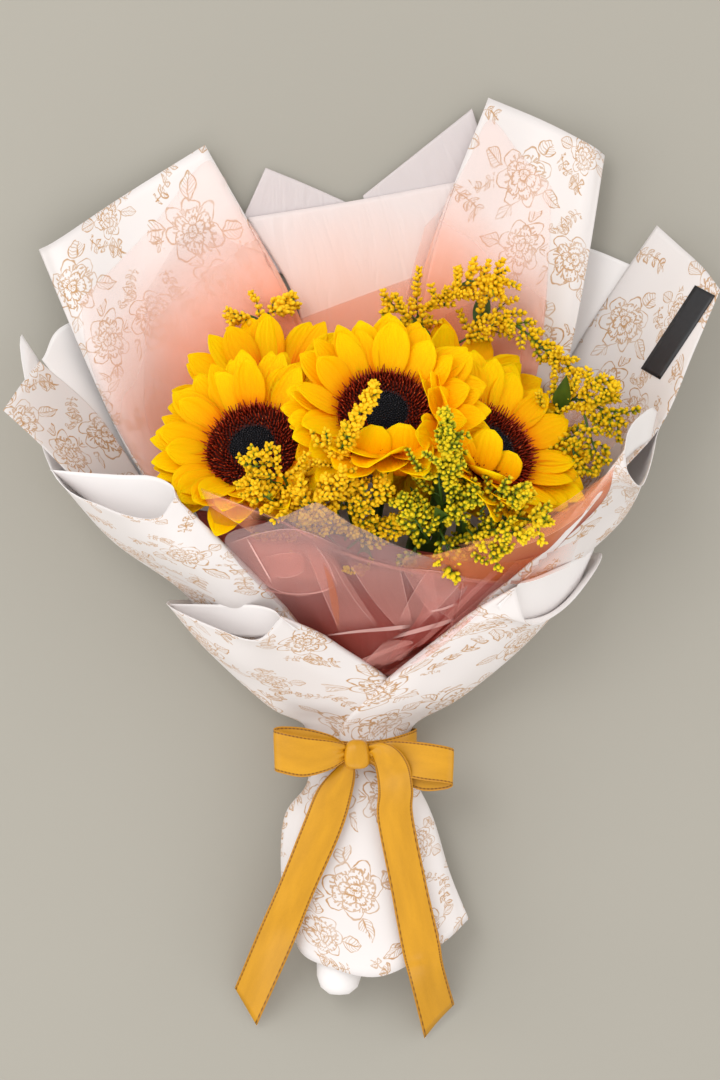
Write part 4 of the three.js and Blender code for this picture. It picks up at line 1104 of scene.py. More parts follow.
def printed_lines(finish, spacing):
    """The print of the paper, as line drawings of blooms, leaves and sprigs: 1 is ink."""
    flat = finish.place("UV", (1000, 1000, 1000))
    x, y = finish.fields(flat)
    for scale, reach in ((0.03, 16.0), (0.13, 4.5)):
        shift_x, shift_y = finish.drift(flat, scale)
        x, y = x + shift_x * reach, y + shift_y * reach
    weight = finish.clouds(flat, 0.22, 2.0) * 2.4 - 0.35
    bloom_x, bloom_y, turn, pick = cell_frame(finish, x, y, spacing, 0.75)
    radius, angle = polar(bloom_x, bloom_y)
    radius = radius * (pick * 0.6 + 0.75)
    ink = bloom_lines(radius, angle, turn, weight) * radius.below(17.5)
    sector = ((angle + turn * TURN) * (4 / (2 * math.pi))).fraction() - 0.5
    ink = ink.or_more(leaf_lines(
        radius - 16.0, sector * (2 * math.pi / 4) * radius, 14.0, 4.6, weight))
    sprig_x, sprig_y, lean, draw = cell_frame(finish, x + 31.0, y + 17.0, spacing * 0.66, 0.8)
    reach, bearing = polar(sprig_x, sprig_y)
    bearing = bearing + lean * TURN
    run = reach * (bearing + math.pi / 2).sin()
    drift = reach * bearing.sin() - (run * 0.19).sin() * 2.6
    clear = radius.above(19.0)
    stalk = drift.stroke(weight * 0.38) * abs(run).below(15.0)
    step = ((run / 6.2).fraction() - 0.5) * 6.2
    side = abs(drift)
    leaf = leaf_lines(side * 0.8 + step * 0.6 + 0.9, side * -0.6 + step * 0.8, 6.4, 1.9, weight)
    sprig = stalk.or_more(leaf * abs(run).below(14.0) * side.below(7.5))
    ink = ink.or_more(sprig * clear * draw.above(0.1))
    fade = finish.clouds(flat, 0.05, 2.0)
    return ink * (fade * 1.6 + 0.1).math("MINIMUM", 1.0)


def shade(tint, share):
    """A tint made darker or lighter."""
    return tuple(min(1.0, channel * share) for channel in tint)


def paper_finish(name, tint, ink=None, spacing=50.0):
    """Satin paper, plain or with its print."""
    finish = Finish(name, Roughness=0.48)
    fibres = finish.clouds("Object", 9.0, 2.0)
    base = finish.ramp(fibres, (0.3, shade(tint, 0.95)), (0.7, shade(tint, 1.05)))
    if ink:
        lines = printed_lines(finish, spacing)
        base = finish.blend(lines * 0.95, base, ink)
    finish.feed(base, "Base Color")
    creases = finish.clouds("Object", 26.0, 4.0, 0.4)
    finish.relief(creases, 0.0006, 0.35)
    return finish.material


def film_finish(name, tint, dense, pale, clear, low, high, around=None):
    """Thin see-through film that runs from one tint and density to another.

    The change runs from low to high, in metres up the film or out from a place around it.
    """
    finish = Finish(name, Roughness=0.3, Specular_IOR_Level=0.35)
    _, up = finish.fields(finish.place("UV"))
    if around:
        x, y = finish.fields(finish.place("Object"))
        up, _ = polar(x - around[0], y - around[1])
    height = (up - low) / (high - low)
    smoke = finish.clouds("Object", 14.0, 2.0)
    level = height + (smoke - 0.5) * 0.5
    tinted = finish.ramp(level, (0.0, tint), (1.0, pale))
    wrinkles = finish.clouds(finish.place("UV", (55, 9, 1)), 1.0, 3.0, 1.5)
    finish.relief(wrinkles, 0.004, 0.5)
    finish.feed(tinted, "Base Color")
    finish.feed(finish.ramp(level, (0.0, (dense,) * 3), (1.0, (clear,) * 3)), "Alpha")
    return finish.material


def fold_film_finish(name, tint, pale, body, rim):
    """A turned-over fold of film, with a painted highlight along its long edges."""
    finish = Finish(name, Roughness=0.35, Specular_IOR_Level=0.3)
    across, along = finish.fields(finish.place("UV"))
    # Painted highlight: the fold is paler and denser along its long edges, where light would catch it.
    edge = (abs(across - 0.5) * 40.0 - 19.0).clamped()
    streaks = finish.clouds("Object", 26.0, 2.0)
    fade = (abs(along - 0.5) * -5.0 + 2.6).clamped()
    finish.feed(finish.blend(edge, tint, pale), "Base Color")
    finish.feed(((edge * rim + (streaks * 0.8 + 0.6) * body) * fade).socket, "Alpha")
    return finish.material


def petal_finish(settings):
    """Soft yellow petals, ribbed along their length, orange at the foot, partly their own colour and partly
    painted shade, and lighter at the tip as a painted highlight.
    """
    finish = Finish("petal", Roughness=0.6, Specular_IOR_Level=0.05)
    across, along = finish.fields(finish.place("UV"))
    streaks = finish.clouds(finish.place("UV", (9, 0.9, 1)), 3.0, 3.0)
    each = finish.node("TexWhiteNoise", noise_dimensions="1D")
    finish.link(across.math("FLOOR").socket, each.inputs["W"])
    draw = Field(finish.tree, each.outputs["Value"])
    # The foot's orange is partly the petals' own colour and partly painted shade; the lighter tip is a
    # painted highlight.
    foot, petal = tuple(settings.petal_foot_and_shade), tuple(settings.petal)
    tip = (min(1.0, petal[0]), petal[1] * 1.2, petal[2])
    middle = tuple(a * 0.35 + b * 0.65 for a, b in zip(foot, petal))
    level = along + (streaks - 0.5) * 0.3 + (draw - 0.5) * 0.45
    body = finish.ramp(level, (0.0, foot), (0.26, middle), (0.6, petal), (1.0, tip))
    finish.feed(body, "Base Color")
    ribs = (across * (2 * math.pi * 6)).sin() * 0.5 + streaks
    finish.relief(ribs, 0.0004, 0.5)
    finish.shader.inputs["Subsurface Weight"].default_value = 0.35
    finish.shader.inputs["Subsurface Radius"].default_value = (0.012, 0.005, 0.0004)
    return finish.material


def floret_finish(name, low, high, painted_glints, scale, roughness=0.6):
    """Small packed florets: darker at their feet as painted shade between them, lighter at their tips as a
    painted highlight, and some painted glints.
    """
    finish = Finish(name, Roughness=roughness, Specular_IOR_Level=0.12)
    _, tip = finish.fields(finish.place("UV"))
    mottle = finish.clouds("Object", scale, 2.0)
    # Painted shade at each floret's foot and a painted highlight towards its tip; the glints near the tips
    # are painted too.
    body = finish.ramp(tip + (mottle - 0.5) * 0.8, (0.0, low), (1.0, high))
    painted_glint_mask = mottle.above(0.62) * tip.above(0.55)
    finish.feed(finish.blend(painted_glint_mask * 0.6, body, painted_glints), "Base Color")
    return finish.material


def goldenrod_finish(name, floret, bud, green):
    """Goldenrod florets, from green buds to open yellow ones, each darker at its foot, partly its green
    bracts and partly painted shade, and paler at its tip as a painted highlight.
    """
    finish = Finish(name, Roughness=0.6, Specular_IOR_Level=0.1)
    share = finish.clouds("Object", 60.0, 2.0)
    patches = finish.clouds("Object", 16.0, 1.0)
    _, tip = finish.fields(finish.place("UV"))
    # Painted light: darker towards each floret's foot, partly its green bracts and partly painted shade; the
    # palest stop is a painted highlight at the tip.
    level = share * 0.5 + patches * 0.8 + tip * 0.75 - (0.55 + green * 0.35)
    dark = shade(bud, 0.35)
    open_floret = tuple(a + (b * 2.2 - a) * green * 0.5 for a, b in zip(floret, bud))
    pale = tuple(min(1.0, channel * 1.35 + 0.02) for channel in open_floret)
    stops = ((0.0, dark), (0.18, bud), (0.36, open_floret), (0.95, pale))
    finish.feed(finish.ramp(level, *stops), "Base Color")
    return finish.material


def green_finish(name, tint):
    """Stems and leaves, streaked along their length."""
    finish = Finish(name, Roughness=0.5)
    streaks = finish.clouds(finish.place("Object", (1, 0.25, 1)), 160.0, 3.0)
    finish.feed(finish.ramp(streaks, (0.3, tint), (0.75, shade(tint, 1.6))), "Base Color")
    finish.relief(streaks, 0.0003, 0.4)
    return finish.material


def satin_finish(settings, half_width):
    """Satin ribbon with a painted sheen, a wired edge and a row of small stitches beside it."""
    finish = Finish("ribbon satin", Roughness=0.34, Specular_IOR_Level=0.3)
    across, along = finish.fields(finish.place("UV", (1000, 1000, 1000)))
    cloud = finish.clouds(finish.place("UV", (50, 14, 1)), 2.0, 2.0)
    weave = finish.clouds(finish.place("UV", (2600, 500, 1)), 1.0, 2.0)
    satin = tuple(settings.satin)
    deep = (satin[0] * 0.9, satin[1] * 0.88, satin[2] * 0.8)
    # Painted sheen: soft patches of darker and lighter satin.
    painted_sheen = cloud * 0.75 + weave * 0.25
    body = finish.ramp(painted_sheen, (0.32, deep), (0.66, shade(satin, 1.12)))
    inset = abs(across) * -1.0 + half_width
    wired = inset.below(0.9)
    stitches = ((along * (2 * math.pi / 2.6)).sin() * 0.3 + 0.8) * (inset - 1.3).stroke(0.42)
    body = finish.blend(wired, body, tuple(settings.edge))
    body = finish.blend(stitches, body, tuple(settings.stitch))
    finish.feed(body, "Base Color")
    finish.relief(wired + weave * 0.12, 0.0005, 0.4)
    return finish.material


def label_finish(tint):
    """A plain dark label."""
    finish = Finish("dark label", Roughness=0.4)
    grain = finish.clouds("Object", 300.0, 2.0)
    finish.feed(finish.ramp(grain, (0.3, tint), (0.7, shade(tint, 1.5))), "Base Color")
    return finish.material


def floor_finish(tint):
    """A plain pale table top."""
    finish = Finish("table", Roughness=0.9)
    cloud = finish.clouds("Object", 3.0, 3.0)
    finish.feed(finish.ramp(cloud, (0.3, shade(tint, 0.97)), (0.7, tint)), "Base Color")
    return finish.material


def made(name, make):
    """The material of this name, made once."""
    return bpy.data.materials.get(name) or make()


# ---------------------------------------------------------------- stage

class BUNCH_OT_stage(bpy.types.Operator):
    """Sets up the camera above the table, the table and the soft light."""

    bl_idname = "bunch.stage"
    bl_label = "Stage"

    def execute(self, context):
        settings = context.scene.bunch_stage
        camera = bpy.data.cameras.new("camera")
        camera.sensor_fit = "HORIZONTAL"
        camera.sensor_width = 36.0
        camera.lens = camera.sensor_width * settings.distance / settings.view_width
        viewer = bpy.data.objects.new("camera", camera)
        viewer.location = TIE + VIEW_CENTRE * MM
        viewer.location.z = settings.distance
        context.scene.collection.objects.link(viewer)
        context.scene.camera = viewer
        context.scene.view_settings.view_transform = "Standard"

        shape = bmesh.new()
        bmesh.ops.create_grid(shape, x_segments=2, y_segments=2, size=TABLE_REACH)
        mesh = bpy.data.meshes.new("table")
        shape.to_mesh(mesh)
        shape.free()
        mesh.materials.append(floor_finish(tuple(settings.floor)))
        table = bpy.data.objects.new("table", mesh)
        context.scene.collection.objects.link(table)

        world = bpy.data.worlds.new("studio")
        world.use_nodes = True
        background = world.node_tree.nodes["Background"]
        background.inputs["Color"].default_value = SKY
        background.inputs["Strength"].default_value = SKY_STRENGTH
        context.scene.world = world
        for name, place, size, energy in LIGHTS:
            light = bpy.data.lights.new(name, "AREA")
            light.size = size
            light.energy = energy
            lamp = bpy.data.objects.new(name, light)
            lamp.location = place
            lamp.rotation_euler = (-Vector(place)).to_track_quat("-Z", "Y").to_euler()
            context.scene.collection.objects.link(lamp)
        return {"FINISHED"}


# ---------------------------------------------------------------- papers

def paper_pair(settings, outside_printed):
    """The two sides of a paper: the one towards the flowers, then the one away from them."""
    spacing = settings.motif * 1000
    printed = made("printed paper", lambda: paper_finish(
        "printed paper", tuple(settings.face), tuple(settings.ink), spacing))
    plain = made("plain paper", lambda: paper_finish("plain paper", tuple(settings.reverse)))
    return (plain, printed) if outside_printed else (printed, plain)


class BUNCH_OT_wraps(bpy.types.Operator):
    """Builds the four wraps round the flowers, with their rolled front edges."""

    bl_idname = "bunch.wraps"
    bl_label = "Wraps"

    def execute(self, context):
        settings = context.scene.bunch_paper
        for name, layout, edge, lip in (
                ("right_lower_wrap", gathered(RIGHT_NECK, RIGHT_ANGLES, RIGHT_LOWER_WRAP), "right",
                 LIP_RIGHT_LOWER),
                ("left_lower_wrap", gathered(LEFT_NECK, LEFT_ANGLES, LEFT_LOWER_WRAP), "left",
                 LIP_LEFT_LOWER),
                ("right_front_wrap", RIGHT_FRONT_WRAP, "right", LIP_RIGHT_UPPER),
                ("left_front_wrap", LEFT_FRONT_WRAP, "left", LIP_LEFT_UPPER)):
            shape = new_mesh()
            body = Sheet(layout, across=48, along=44)
            body.add_to(shape)
            body.add_roll(shape, edge, settings.edge_roll * 1000)
            turned = Sheet(lip, across=28, along=10)
            turned.add_to(shape)
            piece = finish_piece(shape, name + "_paper", paper_pair(settings, True), name,
                                 "printed_paper", settings.thickness, 1)
            declare(piece, [body, turned], "folded")
        return {"FINISHED"}


class BUNCH_OT_panels(bpy.types.Operator):
    """Builds the standing panels of paper behind and beside the flowers."""

    bl_idname = "bunch.panels"
    bl_label = "Panels"

    def execute(self, context):
        settings = context.scene.bunch_paper
        printed = paper_pair(settings, False)
        plain = (printed[1], printed[1])
        for name, layout, finishes, slot in (
                ("left_side_panel", LEFT_SIDE_PANEL, printed, "printed_paper"),
                ("left_plain_sheet", LEFT_PLAIN_SHEET, plain, "plain_paper"),
                ("left_tall_panel", LEFT_TALL_PANEL, printed, "printed_paper"),
                ("right_plain_sheet", RIGHT_PLAIN_SHEET, plain, "plain_paper"),
                ("right_tall_panel", RIGHT_TALL_PANEL, printed, "printed_paper"),
                ("right_side_panel", RIGHT_SIDE_PANEL, printed, "printed_paper")):
            shape = new_mesh()
            body = Sheet(layout, across=36, along=36)
            body.add_to(shape)
            piece = finish_piece(shape, name + "_paper", finishes, name, slot, settings.thickness, 1)
            declare(piece, [body], "folded")
        shape = new_mesh()
        add_fold(shape, surface_of(RIGHT_SIDE_PANEL), LABEL_SIDES[0], LABEL_LIFT, LABEL_SIDES[1])
        label = made("dark label", lambda: label_finish(tuple(settings.label)))
        finish_piece(shape, "plain_label", [label], "blank_label", "label", settings.thickness)
        return {"FINISHED"}


def skirt_pleats(u, v):
    """Pleats of the skirt, deeper towards its open end."""
    return -1.6 * (1 - v) * abs(math.sin(7 * math.pi * u + 2 * v)) ** 0.7


class BUNCH_OT_lower_paper(bpy.types.Operator):
    """Builds the skirt of paper round the stems and the roll round their cut ends."""

    bl_idname = "bunch.lower_paper"
    bl_label = "Lower paper"

    def execute(self, context):
        settings = context.scene.bunch_paper
        shape = new_mesh()
        skirt = Sheet(SKIRT, across=96, along=36, ripple=skirt_pleats)
        skirt.add_to(shape)
        piece = finish_piece(shape, "skirt_paper", paper_pair(settings, True), "lower_paper",
                             "printed_paper", settings.thickness, 1)
        declare(piece, [skirt], "gathered")

        shape = new_mesh()
        add_spun(shape, STEM_END_OUTLINE, Vector((0, 1, 0)), 36, closed=False)
        bmesh.ops.remove_doubles(shape, verts=shape.verts, dist=0.01)
        bmesh.ops.recalc_face_normals(shape, faces=shape.faces)
        smooth(shape)
        bmesh.ops.translate(shape, vec=STEM_END_PLACE, verts=shape.verts)
        piece = finish_piece(shape, "stem_end_paper", paper_pair(settings, True)[:1],
                             "stem_end_wrap", "plain_paper")
        thicken(piece, settings.thickness)
        return {"FINISHED"}


# ---------------------------------------------------------------- films and tissues

def film_waves(count, depth, seed):
    """Folded facets that run up a film, deeper towards its top."""
    def wave(u, v):
        drift = u * count + 0.8 * noise(Vector((u * 2.0, v * 1.5, seed)))
        crease = abs((drift % 1.0) - 0.5) * 2 - 0.5
        return depth * crease * (0.25 + 0.75 * v)
    return wave


def surface_of(*layouts):
    """The surface of some layouts, for other sheets to lie on."""
    shape = new_mesh()
    for layout in layouts:
        Sheet(layout, across=36, along=36).add_to(shape)
    tree = BVHTree.FromBMesh(shape)
    shape.free()
    return tree


def level_at(tree, x, y, otherwise):
    """The height of a surface above a place on the table, or another height beside it."""
    above_all = 400
    hit = tree.ray_cast(Vector((x, y, above_all)), -UP)[0]
    return hit.z if hit else otherwise


def add_fold(shape, tree, first, lift, second, finish=0):
    """Adds a fold between two lines seen from above, laid on a surface or level with its edge."""
    across, along, usual_level = 6, 24, 125
    sides = [[Vector((*point, 0)) for point in side] for side in (first, second)]

    def place(i, j):
        ends = [curve_point(side, j / along) for side in sides]
        point = ends[0].lerp(ends[1], i / across)
        nearest = tree.find_nearest(Vector((point.x, point.y, usual_level)))[0]
        point.z = level_at(tree, point.x, point.y, nearest.z) + lift
        return point

    add_patch(shape, across, along, place, lambda i, j: (i / across, j / along), finish)


def film_finishes(settings):
    """The finishes of the films and tissues, by name.

    Each has its inner tint and density, its outer tint and density, where the change starts and
    ends, and whether that is measured from the middle of the flowers.
    """
    peach, rose, tissue = tuple(settings.peach), tuple(settings.rose), tuple(settings.tissue)
    blush = (1.0, 0.74, 0.68)
    bloom = (TIE.x, TIE.y + BLOOM_DISTANCE)
    finishes = {}
    for name, tint, dense, pale, clear, low, high, around in (
            ("back film", peach, 0.74, blush, 0.12, 0.094, 0.182, bloom),
            ("turned film", peach, 0.2, blush, 0.04, 0.1, 0.18, bloom),
            ("side film", peach, 0.62, blush, 0.1, 0.1, 0.18, bloom),
            ("deep film", rose, 0.95, (0.3, 0.045, 0.028), 0.8, 0.0, 0.16, None),
            ("amber film", (0.3, 0.032, 0.02), 0.88, (1.0, 0.36, 0.14), 0.26, 0.06, 0.11, None),
            ("near film", (0.3, 0.03, 0.02), 0.24, (0.36, 0.08, 0.05), 0.1, 0.01, 0.13, None),
            ("lilac film", (0.4, 0.07, 0.05), 0.1, (0.5, 0.35, 0.34), 0.26, 0.02, 0.11, None),
            ("tissue", tissue, 0.75, (0.8, 0.76, 0.77), 0.5, 0.0, 0.18, None),
            ("centre tissue", (1.0, 0.6, 0.48), 0.92, (0.88, 0.77, 0.75), 0.8, 0.08, 0.16, bloom)):
        finishes[name] = film_finish(name, tint, dense, pale, clear, low, high, around)
    return finishes


def fold_finishes():
    """The finishes of the folds in the order that FILM_FOLDS counts them."""
    return [
        # Every fold carries a painted highlight along its long edges; the glint is a painted highlight over
        # its whole narrow strip.
        fold_film_finish("film fold", (0.82, 0.36, 0.31), (1.0, 0.6, 0.54), body=0.27, rim=0.2),
        fold_film_finish("film glint", (1.0, 0.62, 0.57), (1.0, 0.76, 0.72), body=0.42, rim=0.2),
        fold_film_finish("amber fold", (0.62, 0.16, 0.05), (0.75, 0.3, 0.12), body=0.4, rim=0.1),
        fold_film_finish("peach fold", (1.0, 0.4, 0.2), (1.0, 0.6, 0.45), body=0.36, rim=0.2),
    ]


# Each film or tissue: its node, its layers, their finishes, its slot, how it is held, its facets
# and the panel that it lies on.
FILMS = (
    ("back_tissue_left", [TISSUE_LEFT], ["tissue"], "tissue", "laid", None, None),
    ("back_tissue_right", [TISSUE_RIGHT], ["tissue"], "tissue", "laid", None, None),
    ("back_tissue_middle", [TISSUE_CENTRE, TISSUE_CENTRE_FILM, TISSUE_CENTRE_FOLD],
     ["centre tissue", "turned film", "turned film"], "tissue", "laid", None, None),
    ("left_film", [LEFT_FILM, LEFT_FILM_TURN], ["back film", "turned film"], "peach_film",
     "folded", film_waves(3, 0.3, 1), LEFT_TALL_PANEL),
    ("right_film", [RIGHT_FILM, RIGHT_FILM_TURN], ["back film", "turned film"], "peach_film",
     "folded", film_waves(3, 0.3, 2), RIGHT_TALL_PANEL),
    ("right_side_film", [RIGHT_SIDE_FILM], ["side film"], "peach_film", "folded",
     film_waves(3, 0.5, 3), None),
    ("front_film_deep", [FRONT_FILM_DEEP, FILM_RIGHT_FOLD], ["deep film", "amber film"],
     "rose_film", "gathered", film_waves(6, 1.4, 4), None),
    ("front_film_near", [FRONT_FILM_NEAR, FILM_PEAK], ["near film", "lilac film"], "rose_film",
     "gathered", film_waves(5, 1.0, 5), None),
)


class BUNCH_OT_films(bpy.types.Operator):
    """Builds the see-through films and tissues behind and before the flowers."""

    bl_idname = "bunch.films"
    bl_label = "Films and tissues"

    def execute(self, context):
        settings = context.scene.bunch_film
        finishes = film_finishes(settings)
        for name, layouts, used, slot, held, waves, panel in FILMS:
            shape = new_mesh()
            sheets = []
            for k, layout in enumerate(layouts):
                lift = 1.3 + 0.9 * k if panel else 0.2
                under = surface_of(panel) if panel else None
                sheet = Sheet(layout, across=60, along=40, lift=lift, ripple=waves, over=under)
                sheet.add_to(shape, k)
                sheets.append(sheet)
            piece = finish_piece(shape, name + "_sheet", [finishes[key] for key in used], name,
                                 slot, settings.thickness)
            # The sheer peach films would cast too dark a shadow on the papers behind them.
            piece.visible_shadow = slot != "peach_film"
            declare(piece, sheets, held)

        folded = new_mesh()
        tree = surface_of(FRONT_FILM_NEAR, FILM_PEAK, FILM_RIGHT_FOLD)
        for fold in FILM_FOLDS:
            add_fold(folded, tree, *fold)
        area = sum(face.calc_area() for face in folded.faces) * MM * MM
        piece = finish_piece(folded, "front_film_folds", fold_finishes(), "front_film_near",
                             "rose_film")
        piece.visible_shadow = False
        return {"FINISHED"}


# ---------------------------------------------------------------- sunflowers

def head_matrix(head):
    """Places a head that was built round the origin, facing up."""
    normal = Vector(head["faces"]).normalized()
    across = Vector((0, 1, 0)).cross(normal).normalized()
    return axes(across, normal.cross(across), normal, Vector(head["at"]))


def bend_at(bends, bearing):
    """How far the petals at a bearing bend up or down, in degrees."""
    total = 0.0
    for centre, spread, degrees in bends:
        away = abs(((bearing - centre + 540) % 360) - 180)
        total += degrees * max(0.0, 1 - away / spread)
    return total


def outline(*shares):
    """The half widths of a blade along its length, as shares of its widest place."""
    return [Vector((share, 0, 0)) for share in shares]


PETAL_OUTLINE = outline(0.46, 0.74, 0.92, 1.0, 1.0, 0.9, 0.64, 0.06)
LEAF_OUTLINE = outline(0.16, 0.6, 0.9, 1.0, 0.88, 0.66, 0.36, 0.03)
ROUND_OUTLINE = outline(0.5, 0.75, 0.9, 1.0, 1.0, 0.95, 0.8, 0.3)


def aimed(start, end):
    """A matrix whose X axis runs from one point to another, with its Z axis upwards."""
    start, end = Vector(start), Vector(end)
    way = (end - start).normalized()
    across = UP.cross(way).normalized()
    return axes(way, across, way.cross(across), start)


def add_blade(shape, matrix, widths, length, width, root=0.0, height=0.0, rise=0.0, bend=0.0,
              twist=0.0, cup=0.0, rib=0.0, number=0, across=4, along=8, finish=0):
    """Adds a blade along X: a petal, leaf or bract that rises, bends, twists and cups."""
    line = [(root, height, math.radians(rise))]
    for j in range(along):
        slope = math.radians(rise + bend * (j + 0.5) / along)
        r, z, _ = line[-1]
        step = length / along
        line.append((r + step * math.cos(slope), z + step * math.sin(slope), slope))

    def place(i, j):
        share, side = j / along, 2 * i / across - 1
        r, z, slope = line[j]
        half = curve_point(widths, share).x * width / 2
        ridge = rib * math.cos(side * math.pi * 2) * math.sin(math.pi * share)
        lift = half * cup * side * side + ridge - half * side * math.sin(twist * share)
        return matrix @ Vector((r - math.sin(slope) * lift, half * side * math.cos(twist * share),
                                z + math.cos(slope) * lift))

    add_patch(shape, across, along, place,
              lambda i, j: (number + 0.02 + 0.96 * i / across, j / along), finish)


class BUNCH_OT_petals(bpy.types.Operator):
    """Builds the layered petals of every sunflower."""

    bl_idname = "bunch.petals"
    bl_label = "Petals"

    def execute(self, context):
        settings = context.scene.bunch_flower
        finish = made("petal", lambda: petal_finish(settings))
        length, width = settings.petal_length * 1000, settings.petal_width * 1000
        first_seed = 11
        for index, (name, head) in enumerate(HEADS.items()):
            draw = random.Random(first_seed + index)
            matrix = head_matrix(head)
            shape = new_mesh()
            number = 0
            for layer, count in zip(PETAL_LAYERS, head["petals"]):
                for k in range(count):
                    bearing = 360 * (k + layer["offset"]) / count + draw.uniform(-7, 7)
                    extra = bend_at(head["bends"], bearing)
                    if extra > 25 and layer["scale"] < 0.9:
                        continue
                    add_blade(
                        shape, matrix @ Matrix.Rotation(math.radians(bearing), 4, "Z"), PETAL_OUTLINE,
                        length * layer["scale"] * draw.uniform(0.9, 1.08),
                        width * draw.uniform(0.8, 1.15) * (1 + max(0, extra) / 160),
                        root=DISC_RADIUS - 3.5,
                        height=-2.2 + 0.3 * (number % 3),
                        rise=layer["rise"] + extra * layer["fold"] + draw.uniform(-5, 5),
                        bend=layer["bend"] + extra * 0.3 + draw.uniform(-14, 10),
                        twist=draw.uniform(-0.6, 0.6), cup=draw.uniform(-0.05, 0.3), rib=0.4,
                        number=number, across=6, along=10)
                    number += 1
            for start, end, wide in head.get("folded", ()):
                reach = (Vector(end) - Vector(start)).length * 1.12
                add_blade(shape, aimed(start, end), ROUND_OUTLINE, reach, wide, rise=14, bend=-34,
                          cup=-0.16, number=number, across=8, along=12)
                number += 1
            finish_piece(shape, name + "_petal_layers", [finish], name + "_petals", "petals",
                         settings.petal_thickness)
        return {"FINISHED"}


def disc_shape(start, end, spacing, size, height, lean, dome, seed):
    """A field of disc florets in the spiral order that sunflowers have, facing up."""
    draw = random.Random(seed)
    shape = new_mesh()
    first, last = int((start / spacing) ** 2) + 1, int((end / spacing) ** 2)
    batch, batch_size = new_mesh(), 30
    for n in range(first, last):
        r = spacing * math.sqrt(n)
        angle = n * GOLDEN_ANGLE
        outward = (r - start) / (end - start)
        at = Vector((r * math.cos(angle), r * math.sin(angle), dome(r)))
        way = Vector((math.cos(angle), math.sin(angle), 0)) * math.sin(lean * outward)
        way = (way + Vector((0, 0, math.cos(lean * outward)))).normalized()
        way = (way + Vector([draw.uniform(-0.24, 0.24) for _ in range(3)])).normalized()
        tall = height * (0.75 + 0.5 * outward) * draw.uniform(0.6, 1.4)
        turn = way.to_track_quat("Z", "Y").to_matrix().to_4x4()
        bmesh.ops.create_cone(
            batch, cap_ends=True, segments=5, radius1=size, radius2=size * 0.3, depth=tall,
            matrix=Matrix.Translation(at + way * tall * 0.4) @ turn)
        if n % batch_size == 0:
            gather(shape, batch)
            batch = new_mesh()
    gather(shape, batch)
    smooth(shape)
    # A UV that runs up each floret, for the finish's painted shade at its foot and painted highlight at its
    # tip.
    uv = shape.loops.layers.uv.verify()
    for face in shape.faces:
        for loop in face.loops:
            radius = loop.vert.co.to_2d().length
            loop[uv].uv = (0.5, min(1.0, max(0.0, (loop.vert.co.z - dome(radius)) / height)))
    return shape


def ring_level(r):
    """Height of the ring's floor at a radius: a rounded rim round a shallow dip."""
    inner, outer = CENTRE_RADIUS - 3, DISC_RADIUS + 1
    return 1.2 + 2.4 * math.sin(math.pi * min(1, max(0, (r - inner) / (outer - inner))))


def heart_level(r):
    """Height of the woolly middle at a radius: a low dome."""
    return 1.0 + 3.2 * (1 - (min(r, CENTRE_RADIUS) / CENTRE_RADIUS) ** 2)


class BUNCH_OT_discs(bpy.types.Operator):
    """Builds the dark ring of spiky florets and the woolly middle of every sunflower."""

    bl_idname = "bunch.discs"
    bl_label = "Discs"

    def execute(self, context):
        settings = context.scene.bunch_flower
        # The ring's and the heart's tones run from painted shade at the florets' feet to painted highlights
        # at their tips, with painted glints.
        ring = made("disc ring", lambda: floret_finish(
            "disc ring", shade(settings.floret, 0.35), shade(settings.floret, 3.4),
            (0.85, 0.22, 0.06), 420.0, 0.45))
        heart = made("disc heart", lambda: floret_finish(
            "disc heart", shade(settings.heart, 0.4), shade(settings.heart, 2.4),
            (0.16, 0.15, 0.15), 500.0, 0.8))
        inside, rim = CENTRE_RADIUS - 1, DISC_RADIUS
        florets = disc_shape(CENTRE_RADIUS - 0.5, rim - 1, spacing=1.18, size=0.75, height=4.6,
                             lean=0.75, dome=ring_level, seed=3)
        add_spun(florets, ((inside, -0.2), (inside, 2.0), ((inside + rim) / 2, 3.4), (rim - 1, 2.0),
                           (rim, -0.2)), UP, 40)
        beads = disc_shape(0.5, CENTRE_RADIUS, spacing=0.92, size=0.6, height=1.5, lean=0.3,
                           dome=heart_level, seed=4)
        add_spun(beads, ((0.01, -0.2), (0.01, 4.0), (8, 3.3), (CENTRE_RADIUS, 1.0),
                         (CENTRE_RADIUS, -0.2)), UP, 40)
        for source in (florets, beads):
            bmesh.ops.recalc_face_normals(source, faces=source.faces)
        for name, head in HEADS.items():
            for source, part, finish in ((florets, "disc_ring", ring), (beads, "disc_centre", heart)):
                shape = source.copy()
                bmesh.ops.transform(shape, matrix=head_matrix(head), verts=shape.verts)
                finish_piece(shape, f"{name}_{part}_florets", [finish], f"{name}_{part}", part)
        florets.free()
        beads.free()
        return {"FINISHED"}


def green_of(settings):
    """The one finish of all stems and leaves."""
    return made("green", lambda: green_finish("green", tuple(settings.stem)))


def bundle_point(place, y):
    """Where a stem stands in the tied bundle, which leans to the left below the tie."""
    angle = math.radians(place)
    lean = max(0.0, -y) * STEM_LEAN
    return (BUNDLE_RADIUS * math.cos(angle) - lean, y,
            BUNDLE_HEIGHT + BUNDLE_RADIUS * math.sin(angle))


def stem_points(head, matrix):
    """The points of a head's stem, from under the head to its cut end."""
    turn = matrix @ Vector((0, 0, -38))
    turn.z = max(turn.z, STEM_CLEARANCE)
    neck = Vector(bundle_point(head["place"], 22))
    way = neck.lerp(turn, 0.6)
    way.z -= 0.03 * turn.z
    above = [matrix @ Vector((0, 0, -14)), matrix @ Vector((0, 0, -24)), turn, way, neck]
    return above + [Vector(bundle_point(head["place"], y)) for y in (0, -50, -100, STEM_END)]


